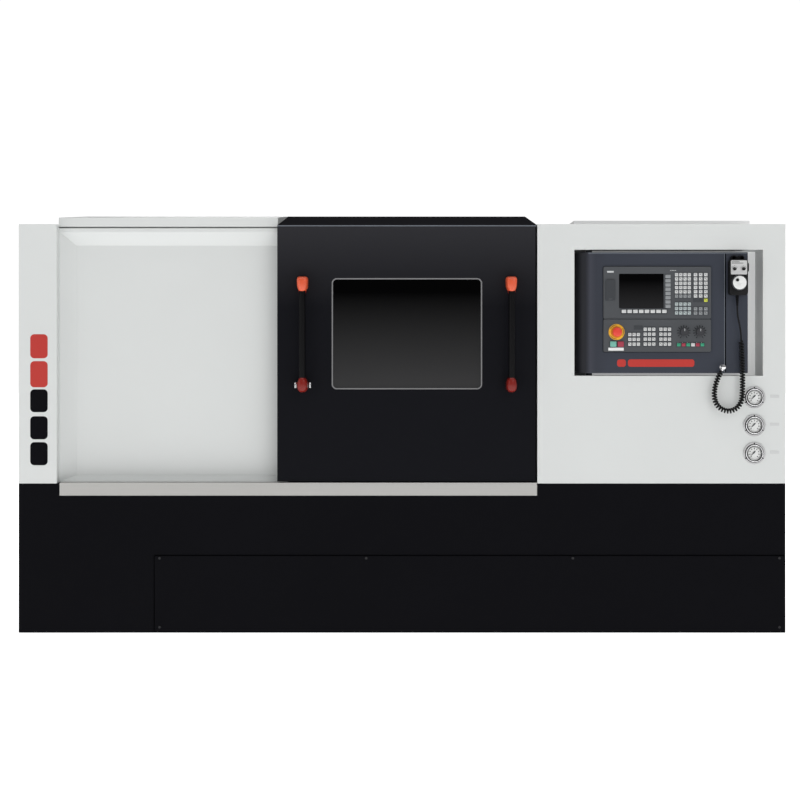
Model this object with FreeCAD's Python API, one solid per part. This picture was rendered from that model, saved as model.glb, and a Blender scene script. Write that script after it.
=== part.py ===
"""Slant-bed CNC turning lathe with full enclosure, in millimetres.

Frame: X to the operator's right along the spindle, Y from the front of the machine to its back, Z up.
The origin is on the floor, in the middle of the machine's footprint.
"""
import FreeCAD
import Part
import math
import os

V = FreeCAD.Vector
COS45 = math.sqrt(0.5)

# ---------------------------------------------------------------- driving dimensions
# enclosure
WIDTH = 2990.0
BODY_DEPTH = 1600.0
COVER_TOP = 1600.0
ROOF_TOP = 1680.0
CABINET_TOP = 588.0
FLOOR_GAP = 6.0
SHEET = 3.0
ROOF_SLOPE_DEPTH = 600.0
ROOF_STEP = 28.0
PANEL_JOINT = 2.0

# door, sill and the panel that the door slides in front of
LEFT_COLUMN_WIDTH = 148.0
DOOR_WIDTH = 1012.0
RIGHT_COVER_WIDTH = 967.0
DOOR_SIDE_GAP = 3.0
DOOR_SETBACK = 3.0
DOOR_THICKNESS = 28.0
DOOR_SILL_GAP = 5.0
DOOR_OVERLAP = 40.0
WINDOW_WIDTH = 587.0
WINDOW_HEIGHT = 434.0
WINDOW_CORNER = 20.0
WINDOW_CENTRE_Z = 1172.0
PANE_LAP = 14.0
PANE_THICKNESS = 6.0
SEAL_WIDTH = 5.0
SEAL_PROUD = 1.5
SILL_HEIGHT = 50.0
SILL_INSET = 12.0
RECESS_BEHIND_DOOR = 36.0
RECESS_FIELD_DEPTH = 76.0
BEVEL_SIDE = 62.0
BEVEL_TOP = 55.0
BEVEL_BOTTOM = 24.0
TRACK_BOTTOM = 1575.0
TRACK_DEPTH = 30.0
SLOT_BOTTOM = 1586.0
SLOT_HEIGHT = 6.0
HOOK_THICKNESS = 3.0
HOOK_DROP = 6.0

# door handles
HANDLE_OFFSET = 406.0
HANDLE_CENTRE_Z = 1169.0
HANDLE_SPAN = 450.0
HANDLE_BAR_RADIUS = 13.0
HANDLE_AXIS_REACH = 42.0
HANDLE_CAP = (45.0, 62.0, 60.0)
HANDLE_CAP_CORNER = 18.0
HANDLE_SOCKET = 20.0
HANDLE_BOLT_RADIUS = 5.0

# lower access panel
ACCESS_LEFT = -967.0
ACCESS_TOP = 308.0
ACCESS_LAP = 40.0
SCREW_RADIUS = 5.0
SCREW_HEAD = 2.5
SCREW_INSET = 22.0
SCREWS_ALONG_TOP = 4

# swivelling operator console in its opening
OPENING_INSET = 87.0
OPENING_BOTTOM = 1008.0
OPENING_TOP = 1500.0
RECESS_DEPTH = 138.0
PIVOT_PLATE = 8.0
PIVOT_RADIUS = 12.0
THRUST_RADIUS = 22.0
CONSOLE_SIDE_GAP = 4.0
FINGER_GAP = 60.0
CONSOLE_END_GAP = 10.0
CONSOLE_WIDTH = 672.0
CONSOLE_DEPTH = 120.0
CONSOLE_PROUD = 5.0

# control units on the console
UNIT_INSET = 145.0
UNIT_WIDTH = 419.0
CNC_UNIT_TOP = 1433.0
CNC_UNIT_HEIGHT = 203.0
MACHINE_PANEL_HEIGHT = 127.0
UNIT_GAP = 2.0
UNIT_PROUD = 7.0
UNIT_SINK = 30.0
UNIT_BEZEL = 10.0
KEY_PROUD = 1.2
SCREEN = (62.0, 30.0, 170.0, 130.0)
SCREEN_SINK = 2.5
FLAP = (10.0, 54.0, 35.0, 74.0)
FLAP_THICKNESS = 3.0
FLAP_PIN_RADIUS = 0.8
EAR = 4.0
# key mats: left, drop, width and height from each unit's top left corner
CNC_MATS = (
    (240.0, 30.0, 22.0, 132.0),
    (68.0, 163.0, 180.0, 22.0),
    (276.0, 23.0, 66.0, 100.0),
    (348.0, 23.0, 60.0, 116.0),
    (276.0, 137.0, 66.0, 52.0),
    (348.0, 156.0, 60.0, 33.0),
)
MACHINE_MATS = (
    (94.0, 50.0, 50.0, 56.0),
    (154.0, 29.0, 50.0, 77.0),
    (215.0, 29.0, 50.0, 77.0),
    (284.0, 90.0, 110.0, 18.0),
)

# push buttons and knobs of the machine panel: x and drop from its top left corner
ESTOP_AT = (50.7, 49.5)
ESTOP_RADIUS = 19.5
ESTOP_HEIGHT = 30.0
ESTOP_STEM_RADIUS = 11.0
ESTOP_TRAVEL = 5.0
COLLAR_RADIUS = 31.0
COLLAR_HEIGHT = 2.0
START_AT = (37.9, 96.5)
STOP_AT = (66.8, 96.5)
BUTTON_SIZE = (24.0, 21.0)
BUTTON_PROUD = 4.5
BUTTON_TRAVEL = 3.0
BUTTON_LENGTH = 12.0
FEED_KNOB_AT = (312.6, 49.5)
SPEED_KNOB_AT = (374.8, 49.5)
KNOB_RADIUS = 16.5
KNOB_HEIGHT = 20.0
KNOB_STEM_RADIUS = 3.0
KNOB_STEM_DEPTH = 10.0

# hand-held pendant on the console's right end
PENDANT_INSET = 7.0
PENDANT_WIDTH = 73.0
PENDANT_BOTTOM = 1321.0
PENDANT_HEIGHT = 139.0
PENDANT_THICKNESS = 34.0
PENDANT_CORNER = 9.0
HOLDER_THICKNESS = 5.0
HOLDER_TOP = 16.0
HOLDER_INSET = 9.0
HOLDER_RISE = 40.0
WHEEL_RADIUS = 30.0
WHEEL_HEIGHT = 24.0
WHEEL_STEM_RADIUS = 4.0
WHEEL_DROP = 91.0
DIAL_RADIUS = 6.5
DIAL_HEIGHT = 12.0
DIAL_STEM_RADIUS = 2.5
DIAL_DROP = 37.0
DIAL_SPREAD = 17.5
TRIGGER_SIZE = (10.0, 33.0)
TRIGGER_PROUD = 5.0
TRIGGER_TRAVEL = 2.5
TRIGGER_TOP_DROP = 14.0

# curly cord of the pendant
CORD_DIAMETER = 6.0
COIL_DIAMETER = 22.0
RELIEF_LENGTH = 42.0
RELIEF_RADII = (7.0, 4.0)
GLAND_RADIUS = 10.0
GLAND_OUTLET_RADIUS = 6.5
GLAND_OUTLET_LENGTH = 16.0
# route of the cord in the plane of the pendant, from the pendant's lower left corner
LEAD_ROUTE = (
    (33.5, -42.0),
    (33.5, -75.0),
    (41.0, -108.0),
    (47.0, -141.0),
    (49.0, -174.0),
)
COIL_ROUTE = (
    (49.0, -174.0),
    (51.0, -225.0),
    (53.0, -277.0),
    (54.0, -329.0),
    (53.5, -377.0),
    (51.0, -413.0),
    (31.5, -441.0),
    (-1.0, -452.0),
    (-33.5, -441.0),
    (-54.0, -413.0),
    (-56.0, -369.0),
    (-45.0, -327.0),
    (-28.0, -293.0),
)

# pressure gauges
GAUGE_INSET = 122.0
GAUGE_ZS = (929.0, 820.0, 711.0)
GAUGE_FLANGE_RADIUS = 43.0
GAUGE_FLANGE = 4.0
GAUGE_BEZEL_RADIUS = 34.0
GAUGE_BEZEL = 12.0
GAUGE_DIAL_RADIUS = 29.0
GAUGE_DIAL_DEPTH = 8.0
GAUGE_BODY_RADIUS = 31.0
GAUGE_BODY_DEPTH = 45.0
NEEDLE_LENGTH = 22.0
NEEDLE_PIN_RADIUS = 1.0

# slant bed: a runs up the slope, b stands off it, both from the spindle axis
SPINDLE_SETBACK = 470.0
SPINDLE_Z = 1080.0
WAY_B = -300.0
BED_LEFT = -1180.0
BED_RIGHT = 1150.0
BED_LOWER_A = -230.0
BED_UPPER_A = 380.0
BED_WALL = 28.0
BED_SLAB_BOTTOM = 60.0
BED_SLAB = 20.0
WAY_HEIGHT = 25.0
WAY_WIDTH = 70.0
LOWER_WAY_A = -185.0
UPPER_WAY_A = 265.0
WAY_LEFT = -440.0
WAY_RIGHT = 990.0
SLIDE_GAP = 0.2
RUNNING_GAP = 0.05
CLEARANCE = 0.3

# headstock, spindle and chuck
HEADSTOCK_LEFT = -1180.0
HEADSTOCK_RIGHT = -460.0
HEADSTOCK_HALF = 165.0
HEADSTOCK_TOP_B = 135.0
SPINDLE_RADIUS = 60.0
SPINDLE_BORE_RADIUS = 26.0
SPINDLE_LEFT = -1440.0
ACTUATOR_RADIUS = 90.0
ACTUATOR_LENGTH = 110.0
SPINDLE_NOSE = -400.0
NOSE_RADIUS = 85.0
NOSE_LENGTH = 45.0
CHUCK_RADIUS = 105.0
CHUCK_LENGTH = 100.0
JAW_WIDTH = 35.0
JAW_LENGTH = 48.0
JAW_SLOT = 12.0
JAW_INNER = 25.0
JAW_OUTER = 92.0
GRIP_RADIUS = 30.0
CHUCK_MOUTH_CLEARANCE = 2.0
SPINDLE_PULLEY_RADIUS = 120.0
MOTOR_PULLEY_RADIUS = 80.0
PULLEY_LEFT = -1300.0
PULLEY_WIDTH = 60.0
BELT_THICKNESS = 8.0
BELT_INSET = 2.0
MOTOR_RADIUS = 110.0
MOTOR_LENGTH = 380.0
MOTOR_STANDOFF = 40.0
MOTOR_SHAFT_RADIUS = 19.0
MOTOR_Y_BEHIND = 660.0
MOTOR_Z = 450.0

# carriage
SADDLE_LEFT = 110.0
SADDLE_LENGTH = 320.0
SADDLE_LOWER_A = -200.0
SADDLE_UPPER_A = 430.0
SADDLE_TOP_B = -190.0
SCREW_A = 75.0
SCREW_B = -275.0
BALL_SCREW_RADIUS = 16.0
SCREW_TUNNEL = 35.0
NUT_LENGTH = 80.0
BEARING_LENGTH = 30.0
SERVO_SIZE = 130.0
SERVO_LENGTH = 180.0
SLIDE_LOWER_A = 60.0
SLIDE_LENGTH = 300.0
SLIDE_THICKNESS = 39.0
SLIDE_END_INSET = 20.0
TURRET_A = 250.0
TURRET_RADIUS = 140.0
TURRET_LEFT = 40.0
TURRET_THICKNESS = 60.0
TURRET_STATIONS = 8
TURRET_PIN_RADIUS = 30.0
TOOL_TIP_RADIUS = 190.0
TOOL_SHANK = 25.0
BORING_BAR = (16.0, 80.0)
TOOL_POCKET = 20.0
BAR_INSET = 30.0
INDEXER_HALF = 100.0
INDEXER_LENGTH = 190.0
INDEXER_END_WALL = 30.0
TURRET_GAP = 10.0

# tailstock
TAILSTOCK_LEFT = 660.0
TAILSTOCK_LENGTH = 250.0
TAILSTOCK_HALF = 95.0
TAILSTOCK_TOP_B = 85.0
TAILSTOCK_BASE = 60.0
QUILL_RADIUS = 35.0
QUILL_FRONT = 560.0
CENTRE_TIP = 490.0
CENTRE_RADIUS = 22.0
QUILL_SEAT = 230.0

# service units
CHAMBER_LEFT = -457.0
CHAMBER_RIGHT = 1000.0
CHAMBER_BACK = 1050.0
CHAMBER_STEP_Z = 1000.0
TRAY_LOW_Z = 500.0
CABINET_INSET = 210.0
CABINET_GAP = 180.0
HUMP_TOP = 1662.0
FOOT_RADIUS = 60.0
FOOT_HEIGHT = 18.0
FOOT_STUD_RADIUS = 15.0
FOOT_INSET = 220.0
FOOT_XS = (-1080.0, -20.0, 1050.0)
SWITCH_INSET = 377.0
SWITCH_Z = 1250.0
SWITCH_STEM_RADIUS = 6.0
SWITCH_RADIUS = 32.0
SWITCH_HEIGHT = 38.0

# ---------------------------------------------------------------- derived places
pendant_reach = CONSOLE_PROUD + HOLDER_THICKNESS + PENDANT_THICKNESS + WHEEL_HEIGHT
half_depth = (BODY_DEPTH + pendant_reach + SWITCH_HEIGHT) / 2
FRONT = -half_depth + pendant_reach
BACK = FRONT + BODY_DEPTH
LEFT = -WIDTH / 2
RIGHT = WIDTH / 2
COLUMN_RIGHT = LEFT + LEFT_COLUMN_WIDTH
RIGHT_COVER_LEFT = RIGHT - RIGHT_COVER_WIDTH
DOOR_RIGHT = RIGHT_COVER_LEFT - DOOR_SIDE_GAP
DOOR_LEFT = DOOR_RIGHT - DOOR_WIDTH
DOOR_CENTRE = (DOOR_LEFT + DOOR_RIGHT) / 2
DOOR_FACE = FRONT + DOOR_SETBACK
DOOR_BACK = DOOR_FACE + DOOR_THICKNESS
DOOR_BOTTOM = CABINET_TOP + SHEET + DOOR_SILL_GAP
DOOR_TOP = COVER_TOP - SHEET
SLOT_TOP = SLOT_BOTTOM + SLOT_HEIGHT
TRACK_TOP = SLOT_TOP + SHEET
WINDOW_X = DOOR_CENTRE
FIELD_Y = FRONT + RECESS_FIELD_DEPTH
BORDER_Y = FRONT + RECESS_BEHIND_DOOR
ROOF_BEND_Y = FRONT + ROOF_SLOPE_DEPTH
SPINDLE_Y = FRONT + SPINDLE_SETBACK
SILL_TOP = CABINET_TOP + SHEET
SCREW_RIGHT = CHAMBER_RIGHT + 2 * SHEET + BEARING_LENGTH
OPENING_RIGHT = RIGHT - OPENING_INSET
CONSOLE_RIGHT = OPENING_RIGHT - FINGER_GAP
CONSOLE_LEFT = CONSOLE_RIGHT - CONSOLE_WIDTH
OPENING_LEFT = CONSOLE_LEFT - CONSOLE_SIDE_GAP
CONSOLE_BOTTOM = OPENING_BOTTOM + CONSOLE_END_GAP
CONSOLE_TOP = OPENING_TOP - CONSOLE_END_GAP
CONSOLE_FACE = FRONT - CONSOLE_PROUD
CONSOLE_BACK = CONSOLE_FACE + CONSOLE_DEPTH
PIVOT_X = CONSOLE_LEFT + CONSOLE_DEPTH / 2
PIVOT_Y = CONSOLE_FACE + CONSOLE_DEPTH / 2
UNIT_FACE = CONSOLE_FACE - UNIT_PROUD
UNIT_LEFT = CONSOLE_RIGHT - UNIT_INSET - UNIT_WIDTH
CNC_UNIT_BOTTOM = CNC_UNIT_TOP - CNC_UNIT_HEIGHT
MACHINE_PANEL_TOP = CNC_UNIT_BOTTOM - UNIT_GAP
MACHINE_PANEL_BOTTOM = MACHINE_PANEL_TOP - MACHINE_PANEL_HEIGHT
PENDANT_RIGHT = CONSOLE_RIGHT - PENDANT_INSET
PENDANT_LEFT = PENDANT_RIGHT - PENDANT_WIDTH
PENDANT_TOP = PENDANT_BOTTOM + PENDANT_HEIGHT
PENDANT_BACK = CONSOLE_FACE - HOLDER_THICKNESS
PENDANT_FACE = PENDANT_BACK - PENDANT_THICKNESS
PENDANT_CENTRE_X = (PENDANT_LEFT + PENDANT_RIGHT) / 2
CORD_Y = (PENDANT_BACK + PENDANT_FACE) / 2
GAUGE_X = RIGHT - GAUGE_INSET
CABINET_LEFT = RIGHT_COVER_LEFT + CABINET_INSET
CABINET_FRONT = FRONT + CHAMBER_BACK + CABINET_GAP
SWITCH_X = CABINET_LEFT + SWITCH_INSET
LEAD_LINE = [(PENDANT_LEFT + x, PENDANT_BOTTOM + z) for x, z in LEAD_ROUTE]
COIL_LINE = [(PENDANT_LEFT + x, PENDANT_BOTTOM + z) for x, z in COIL_ROUTE]
RELIEF_X = LEAD_LINE[0][0]
CORD_EXIT = V(COIL_LINE[-1][0], CORD_Y, COIL_LINE[-1][1])
CORD_END = (CORD_EXIT - V(COIL_LINE[-2][0], CORD_Y, COIL_LINE[-2][1])).normalize()
GLAND_CENTRE = CORD_EXIT + CORD_END * GLAND_OUTLET_LENGTH
GLAND_STANDOFF = CONSOLE_FACE - CORD_Y + GLAND_RADIUS
SADDLE_RIGHT = SADDLE_LEFT + SADDLE_LENGTH
CHUCK_LEFT = SPINDLE_NOSE
CHUCK_FACE = CHUCK_LEFT + CHUCK_LENGTH
TURRET_RIGHT = TURRET_LEFT + TURRET_THICKNESS
MOTOR_Y = SPINDLE_Y + MOTOR_Y_BEHIND

NODES = {}


def node(name, *solids):
    """Keeps the solids of one named sub-part."""
    NODES.setdefault(name, []).extend(solids)


# ---------------------------------------------------------------- shape helpers
def box(x0, x1, y0, y1, z0, z1):
    return Part.makeBox(x1 - x0, y1 - y0, z1 - z0, V(x0, y0, z0))


def cylinder(x, y, z, radius, length, axis):
    return Part.makeCylinder(radius, length, V(x, y, z), V(*axis))


def prism(points, direction):
    """A closed outline of points, pushed along a direction."""
    wire = Part.makePolygon([V(*p) for p in points] + [V(*points[0])])
    return Part.Face(wire).extrude(V(*direction))


def prism_x(outline_yz, x0, x1):
    return prism([(x0, y, z) for y, z in outline_yz], (x1 - x0, 0, 0))


def prism_z(outline_xy, z0, z1):
    return prism([(x, y, z0) for x, y in outline_xy], (0, 0, z1 - z0))


def fuse(first, *others):
    joined = first.fuse(list(others)) if others else first
    return joined.removeSplitter()


def plate_y(x0, x1, z0, z1, y0, y1, corner):
    """An upright plate with rounded corners, seen from the front."""
    block = box(x0, x1, y0, y1, z0, z1)
    edges = [e for e in block.Edges if abs(e.Vertexes[0].Y - e.Vertexes[1].Y) > 1e-6]
    return block.makeFillet(corner, edges)


def slope(a, b):
    """The y and z of a point given along and off the slanted bed."""
    return (SPINDLE_Y + (a - b) * COS45, SPINDLE_Z + (a + b) * COS45)


def slope_block(a0, a1, b0, b1, x0, x1):
    """A block whose sides follow the slanted bed."""
    corners = [slope(a0, b0), slope(a1, b0), slope(a1, b1), slope(a0, b1)]
    return prism_x(corners, x0, x1)


def slope_cylinder_x(a, b, radius, x0, x1):
    y, z = slope(a, b)
    return cylinder(x0, y, z, radius, x1 - x0, (1, 0, 0))


def frustum_y(x0, x1, z0, z1, y0, insets, y1):
    """A four-sided block that narrows from y0 to y1 by insets left, right, bottom and top."""
    left, right, bottom, top = insets
    near = [V(x0, y0, z0), V(x1, y0, z0), V(x1, y0, z1), V(x0, y0, z1)]
    far = [
        V(x0 + left, y1, z0 + bottom),
        V(x1 - right, y1, z0 + bottom),
        V(x1 - right, y1, z1 - top),
        V(x0 + left, y1, z1 - top),
    ]
    wires = [Part.makePolygon(ring + ring[:1]) for ring in (near, far)]
    return Part.makeLoft(wires, True, True)


# ---------------------------------------------------------------- lower cabinet and its panels
def lower_cabinet():
    outer = box(LEFT, RIGHT, FRONT, BACK, FLOOR_GAP, CABINET_TOP)
    inner = box(LEFT + SHEET, RIGHT - SHEET, FRONT + SHEET, BACK - SHEET, 0, CABINET_TOP + 1)
    opening = box(
        ACCESS_LEFT + ACCESS_LAP,
        RIGHT - PANEL_JOINT - ACCESS_LAP,
        FRONT - 1,
        FRONT + SHEET + 1,
        FLOOR_GAP + ACCESS_LAP,
        ACCESS_TOP - ACCESS_LAP,
    )
    node("lower_cabinet", outer.cut([inner, opening]))


def access_screw_places():
    """The x and z of the screws along the access panel's top edge and at its lower corners."""
    right = RIGHT - PANEL_JOINT - SCREW_INSET
    left = ACCESS_LEFT + SCREW_INSET
    step = (right - left) / (SCREWS_ALONG_TOP - 1)
    top = [(left + i * step, ACCESS_TOP - SCREW_INSET / 2) for i in range(SCREWS_ALONG_TOP)]
    bottom = [(x, FLOOR_GAP + SCREW_INSET) for x in (left, right)]
    return top + bottom


def front_access_panel():
    bottom = FLOOR_GAP + PANEL_JOINT
    plate = box(ACCESS_LEFT, RIGHT - PANEL_JOINT, FRONT - SHEET, FRONT, bottom, ACCESS_TOP)
    screws = []
    for x, z in access_screw_places():
        shank = cylinder(x, FRONT - SHEET, z, SCREW_RADIUS / 2, SHEET, (0, 1, 0))
        head = cylinder(x, FRONT - SHEET, z, SCREW_RADIUS, SCREW_HEAD, (0, -1, 0))
        plate = plate.cut(shank)
        screws.append(fuse(head, shank))
    node("front_access_panel", plate)
    node("panel_screws", *screws)


def door_sill():
    """Stainless shelf that the door runs over, folded down over the cabinet's front edge."""
    x0 = COLUMN_RIGHT + SILL_INSET
    x1 = RIGHT_COVER_LEFT - PANEL_JOINT
    shelf = box(x0, x1, FRONT - SHEET, FIELD_Y, CABINET_TOP, SILL_TOP)
    lip = box(x0, x1, FRONT - SHEET, FRONT, SILL_TOP - SILL_HEIGHT, SILL_TOP)
    node("door_sill", fuse(shelf, lip))


# ---------------------------------------------------------------- white covers
def roof_outline(front_top, rear_bottom):
    """Folded roof sheet: front edge, rising slope, flat top and rear flange."""
    run = ROOF_BEND_Y - BORDER_Y
    drop = SHEET * math.hypot(run, ROOF_TOP - front_top) / run
    slope_rate = (ROOF_TOP - front_top) / run
    return [
        (BORDER_Y, TRACK_TOP),
        (BORDER_Y, front_top),
        (ROOF_BEND_Y, ROOF_TOP),
        (BACK, ROOF_TOP),
        (BACK, rear_bottom),
        (BACK - SHEET, rear_bottom),
        (BACK - SHEET, ROOF_TOP - SHEET),
        (ROOF_BEND_Y, ROOF_TOP - SHEET),
        (BORDER_Y + SHEET, front_top - drop + slope_rate * SHEET),
        (BORDER_Y + SHEET, TRACK_TOP),
    ]


def gable(front_top, x0):
    """End wall between the covers' top and a roof sheet, half sunk into the sheet."""
    half = SHEET / 2
    outline = [
        (BORDER_Y + half, COVER_TOP - SHEET),
        (BORDER_Y + half, front_top - half),
        (ROOF_BEND_Y, ROOF_TOP - half),
        (BACK - half, ROOF_TOP - half),
        (BACK - half, COVER_TOP - SHEET),
    ]
    return prism_x(outline, x0, x0 + SHEET)


def step_wall(front_top, x0):
    """Wedge between a raised roof sheet and the chamber's lower one."""
    half = SHEET / 2
    outline = [
        (BORDER_Y + half, COVER_TOP - SHEET),
        (BORDER_Y + half, front_top - half),
        (ROOF_BEND_Y, ROOF_TOP - half),
        (ROOF_BEND_Y, ROOF_TOP - SHEET),
    ]
    return prism_x(outline, x0, x0 + SHEET)


def end_covers():
    """The left end with its folded front column, and the flat right end."""
    left_end = box(LEFT, LEFT + SHEET, FRONT, BACK, CABINET_TOP, COVER_TOP)
    column = box(LEFT, COLUMN_RIGHT, FRONT, FRONT + SHEET, CABINET_TOP, COVER_TOP)
    cap = box(LEFT, COLUMN_RIGHT, FRONT, BACK, COVER_TOP - SHEET, COVER_TOP)
    fold = box(COLUMN_RIGHT - SHEET, COLUMN_RIGHT, FRONT, FIELD_Y, CABINET_TOP, TRACK_TOP)
    right_end = box(RIGHT - SHEET, RIGHT, FRONT + SHEET, BACK, CABINET_TOP, COVER_TOP - SHEET)
    fold_top = box(COLUMN_RIGHT - SHEET, COLUMN_RIGHT, FRONT, BORDER_Y, TRACK_TOP, COVER_TOP)
    node("end_covers", fuse(left_end, column, cap, fold, fold_top), right_end)


def left_front_cover():
    """The panel behind the door's travel: a sunk field in a bevelled border, with its roof."""
    x1 = DOOR_LEFT + DOOR_OVERLAP
    insets = (BEVEL_SIDE, 0, BEVEL_BOTTOM, BEVEL_TOP)
    block = frustum_y(COLUMN_RIGHT, x1, SILL_TOP, TRACK_BOTTOM, BORDER_Y, insets, FIELD_Y)
    hollow = block.translated(V(0, -SHEET, 0))
    opened = box(x1 - SHEET, x1, BORDER_Y, FIELD_Y, SILL_TOP, TRACK_BOTTOM)
    jamb = block.common(opened)
    field = fuse(block.cut(hollow), jamb)
    front_top = COVER_TOP + ROOF_STEP
    sheet = prism_x(roof_outline(front_top, COVER_TOP - SHEET), COLUMN_RIGHT, DOOR_LEFT)
    roof = fuse(sheet, gable(front_top, COLUMN_RIGHT), step_wall(front_top, DOOR_LEFT - SHEET))
    node("left_front_cover", field, roof)


def chamber_roof():
    """Dark roof over the work chamber, closed by a gable at its right end."""
    sheet = prism_x(roof_outline(COVER_TOP, COVER_TOP - SHEET), DOOR_LEFT, RIGHT_COVER_LEFT)
    node("chamber_roof", fuse(sheet, gable(COVER_TOP, RIGHT_COVER_LEFT - SHEET)))


def door_track():
    """Channel with a slot in its front, whose lower lip the door hangs on."""
    y0, y1 = BORDER_Y, BORDER_Y + TRACK_DEPTH
    outline = [
        (y0, TRACK_BOTTOM),
        (y0, SLOT_BOTTOM),
        (y0 + SHEET, SLOT_BOTTOM),
        (y0 + SHEET, TRACK_BOTTOM + SHEET),
        (y1 - SHEET, TRACK_BOTTOM + SHEET),
        (y1 - SHEET, SLOT_TOP),
        (y0, SLOT_TOP),
        (y0, TRACK_TOP),
        (y1, TRACK_TOP),
        (y1, TRACK_BOTTOM),
    ]
    node("door_track", prism_x(outline, COLUMN_RIGHT, RIGHT_COVER_LEFT))


def right_front_cover():
    """Front sheet with its folded left edge and top, and the recess that holds the console."""
    x0, x1 = RIGHT_COVER_LEFT, RIGHT
    front = box(x0, x1, FRONT, FRONT + SHEET, CABINET_TOP, COVER_TOP)
    jamb = box(x0, x0 + SHEET, FRONT, FIELD_Y, CABINET_TOP, COVER_TOP)
    top = box(x0, x1, FRONT, BACK, COVER_TOP - SHEET, COVER_TOP)
    hole = box(OPENING_LEFT, OPENING_RIGHT, FRONT - 1, FRONT + SHEET + 1, OPENING_BOTTOM, OPENING_TOP)
    shell = box(
        OPENING_LEFT - SHEET,
        OPENING_RIGHT + SHEET,
        FRONT,
        FRONT + RECESS_DEPTH,
        OPENING_BOTTOM - PIVOT_PLATE,
        OPENING_TOP + PIVOT_PLATE,
    )
    room = box(
        OPENING_LEFT,
        OPENING_RIGHT,
        FRONT - 1,
        FRONT + RECESS_DEPTH - SHEET,
        OPENING_BOTTOM,
        OPENING_TOP,
    )
    pivot_bore = cylinder(
        PIVOT_X,
        PIVOT_Y,
        OPENING_BOTTOM - PIVOT_PLATE,
        PIVOT_RADIUS + RUNNING_GAP,
        OPENING_TOP - OPENING_BOTTOM + 2 * PIVOT_PLATE,
        (0, 0, 1),
    )
    gauge_holes = [
        cylinder(GAUGE_X, FRONT, z, GAUGE_BODY_RADIUS + CLEARANCE, SHEET, (0, 1, 0)) for z in GAUGE_ZS
    ]
    cover = fuse(front.cut([hole] + gauge_holes), jamb, top, shell.cut(room))
    node("right_front_cover", cover.cut([room, pivot_bore]))


def rear_cover():
    x1 = CABINET_LEFT
    node("rear_cover", box(LEFT + SHEET, x1, BACK - SHEET, BACK, CABINET_TOP, COVER_TOP - SHEET))


def electrical_cabinet():
    """Switch cabinet at the rear, with a raised duct forward over the cover's top."""
    front_y = CABINET_FRONT
    x0, x1 = CABINET_LEFT, RIGHT - SHEET
    body = box(x0, x1, front_y, BACK, CABINET_TOP, COVER_TOP - SHEET)
    body = body.cut(box(x0 + SHEET, x1 - SHEET, front_y + SHEET, BACK - SHEET, 0, COVER_TOP + 1))
    floor = box(x0, x1, front_y, BACK, CABINET_TOP, CABINET_TOP + SHEET)
    duct = box(x0, x1, ROOF_BEND_Y, BACK, COVER_TOP, HUMP_TOP)
    duct = duct.cut(box(x0 + SHEET, x1 - SHEET, ROOF_BEND_Y + SHEET, BACK - SHEET, 0, HUMP_TOP - SHEET))
    bore = cylinder(SWITCH_X, BACK, SWITCH_Z, SWITCH_STEM_RADIUS + RUNNING_GAP, SHEET, (0, -1, 0))
    node("electrical_cabinet", fuse(body, floor).cut(bore), duct)
    knob = cylinder(SWITCH_X, BACK + CLEARANCE, SWITCH_Z, SWITCH_RADIUS, SWITCH_HEIGHT / 3, (0, 1, 0))
    half = SWITCH_RADIUS / 4
    grip = box(
        SWITCH_X - half,
        SWITCH_X + half,
        BACK + CLEARANCE,
        BACK + SWITCH_HEIGHT,
        SWITCH_Z - SWITCH_RADIUS + 1,
        SWITCH_Z + SWITCH_RADIUS - 1,
    )
    stem = cylinder(SWITCH_X, BACK + CLEARANCE, SWITCH_Z, SWITCH_STEM_RADIUS, 3 * SHEET, (0, -1, 0))
    node("main_switch", fuse(knob, grip, stem))


# ---------------------------------------------------------------- sliding door
def door_panel():
    z0, z1 = DOOR_BOTTOM, DOOR_TOP
    outer = box(DOOR_LEFT, DOOR_RIGHT, DOOR_FACE, DOOR_BACK, z0, z1)
    inner = box(
        DOOR_LEFT + SHEET, DOOR_RIGHT - SHEET, DOOR_FACE + SHEET, DOOR_BACK + 1, z0 + SHEET, z1 - SHEET
    )
    hanger = box(DOOR_LEFT, DOOR_RIGHT, DOOR_BACK - SHEET, DOOR_BACK, TRACK_BOTTOM, z1)
    tongue_z = SLOT_BOTTOM + CLEARANCE
    tongue_top = tongue_z + HOOK_THICKNESS
    hook_y = BORDER_Y + SHEET + HOOK_DROP / 2
    hook_back = hook_y + HOOK_THICKNESS
    tongue = box(DOOR_LEFT, DOOR_RIGHT, DOOR_BACK - SHEET, hook_back, tongue_z, tongue_top)
    hook = box(DOOR_LEFT, DOOR_RIGHT, hook_y, hook_back, tongue_z - HOOK_DROP, tongue_top)
    window = window_plate(0, DOOR_FACE - 1, DOOR_FACE + SHEET + 1)
    holes = [handle_bolt(x, z, CLEARANCE) for x in handle_xs() for z in handle_zs()]
    node("door_panel", fuse(outer.cut(inner), hanger, tongue, hook).cut([window] + holes))


def window_plate(margin, y0, y1):
    """The window's rounded outline, grown by a margin, between two depths."""
    half_w = WINDOW_WIDTH / 2 + margin
    half_h = WINDOW_HEIGHT / 2 + margin
    return plate_y(
        WINDOW_X - half_w,
        WINDOW_X + half_w,
        WINDOW_CENTRE_Z - half_h,
        WINDOW_CENTRE_Z + half_h,
        y0,
        y1,
        WINDOW_CORNER + margin,
    )


def window():
    """Pane behind the door's skin, and the seal that lines the hole."""
    pane_y = DOOR_FACE + SHEET
    ring = window_plate(0, DOOR_FACE - SEAL_PROUD, pane_y)
    ring = ring.cut(window_plate(-SEAL_WIDTH, DOOR_FACE - SEAL_PROUD - 1, pane_y + 1))
    node("window_seal", ring)
    node("window_pane", window_plate(PANE_LAP, pane_y, pane_y + PANE_THICKNESS))


def handle_xs():
    return [DOOR_CENTRE - HANDLE_OFFSET, DOOR_CENTRE + HANDLE_OFFSET]


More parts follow.
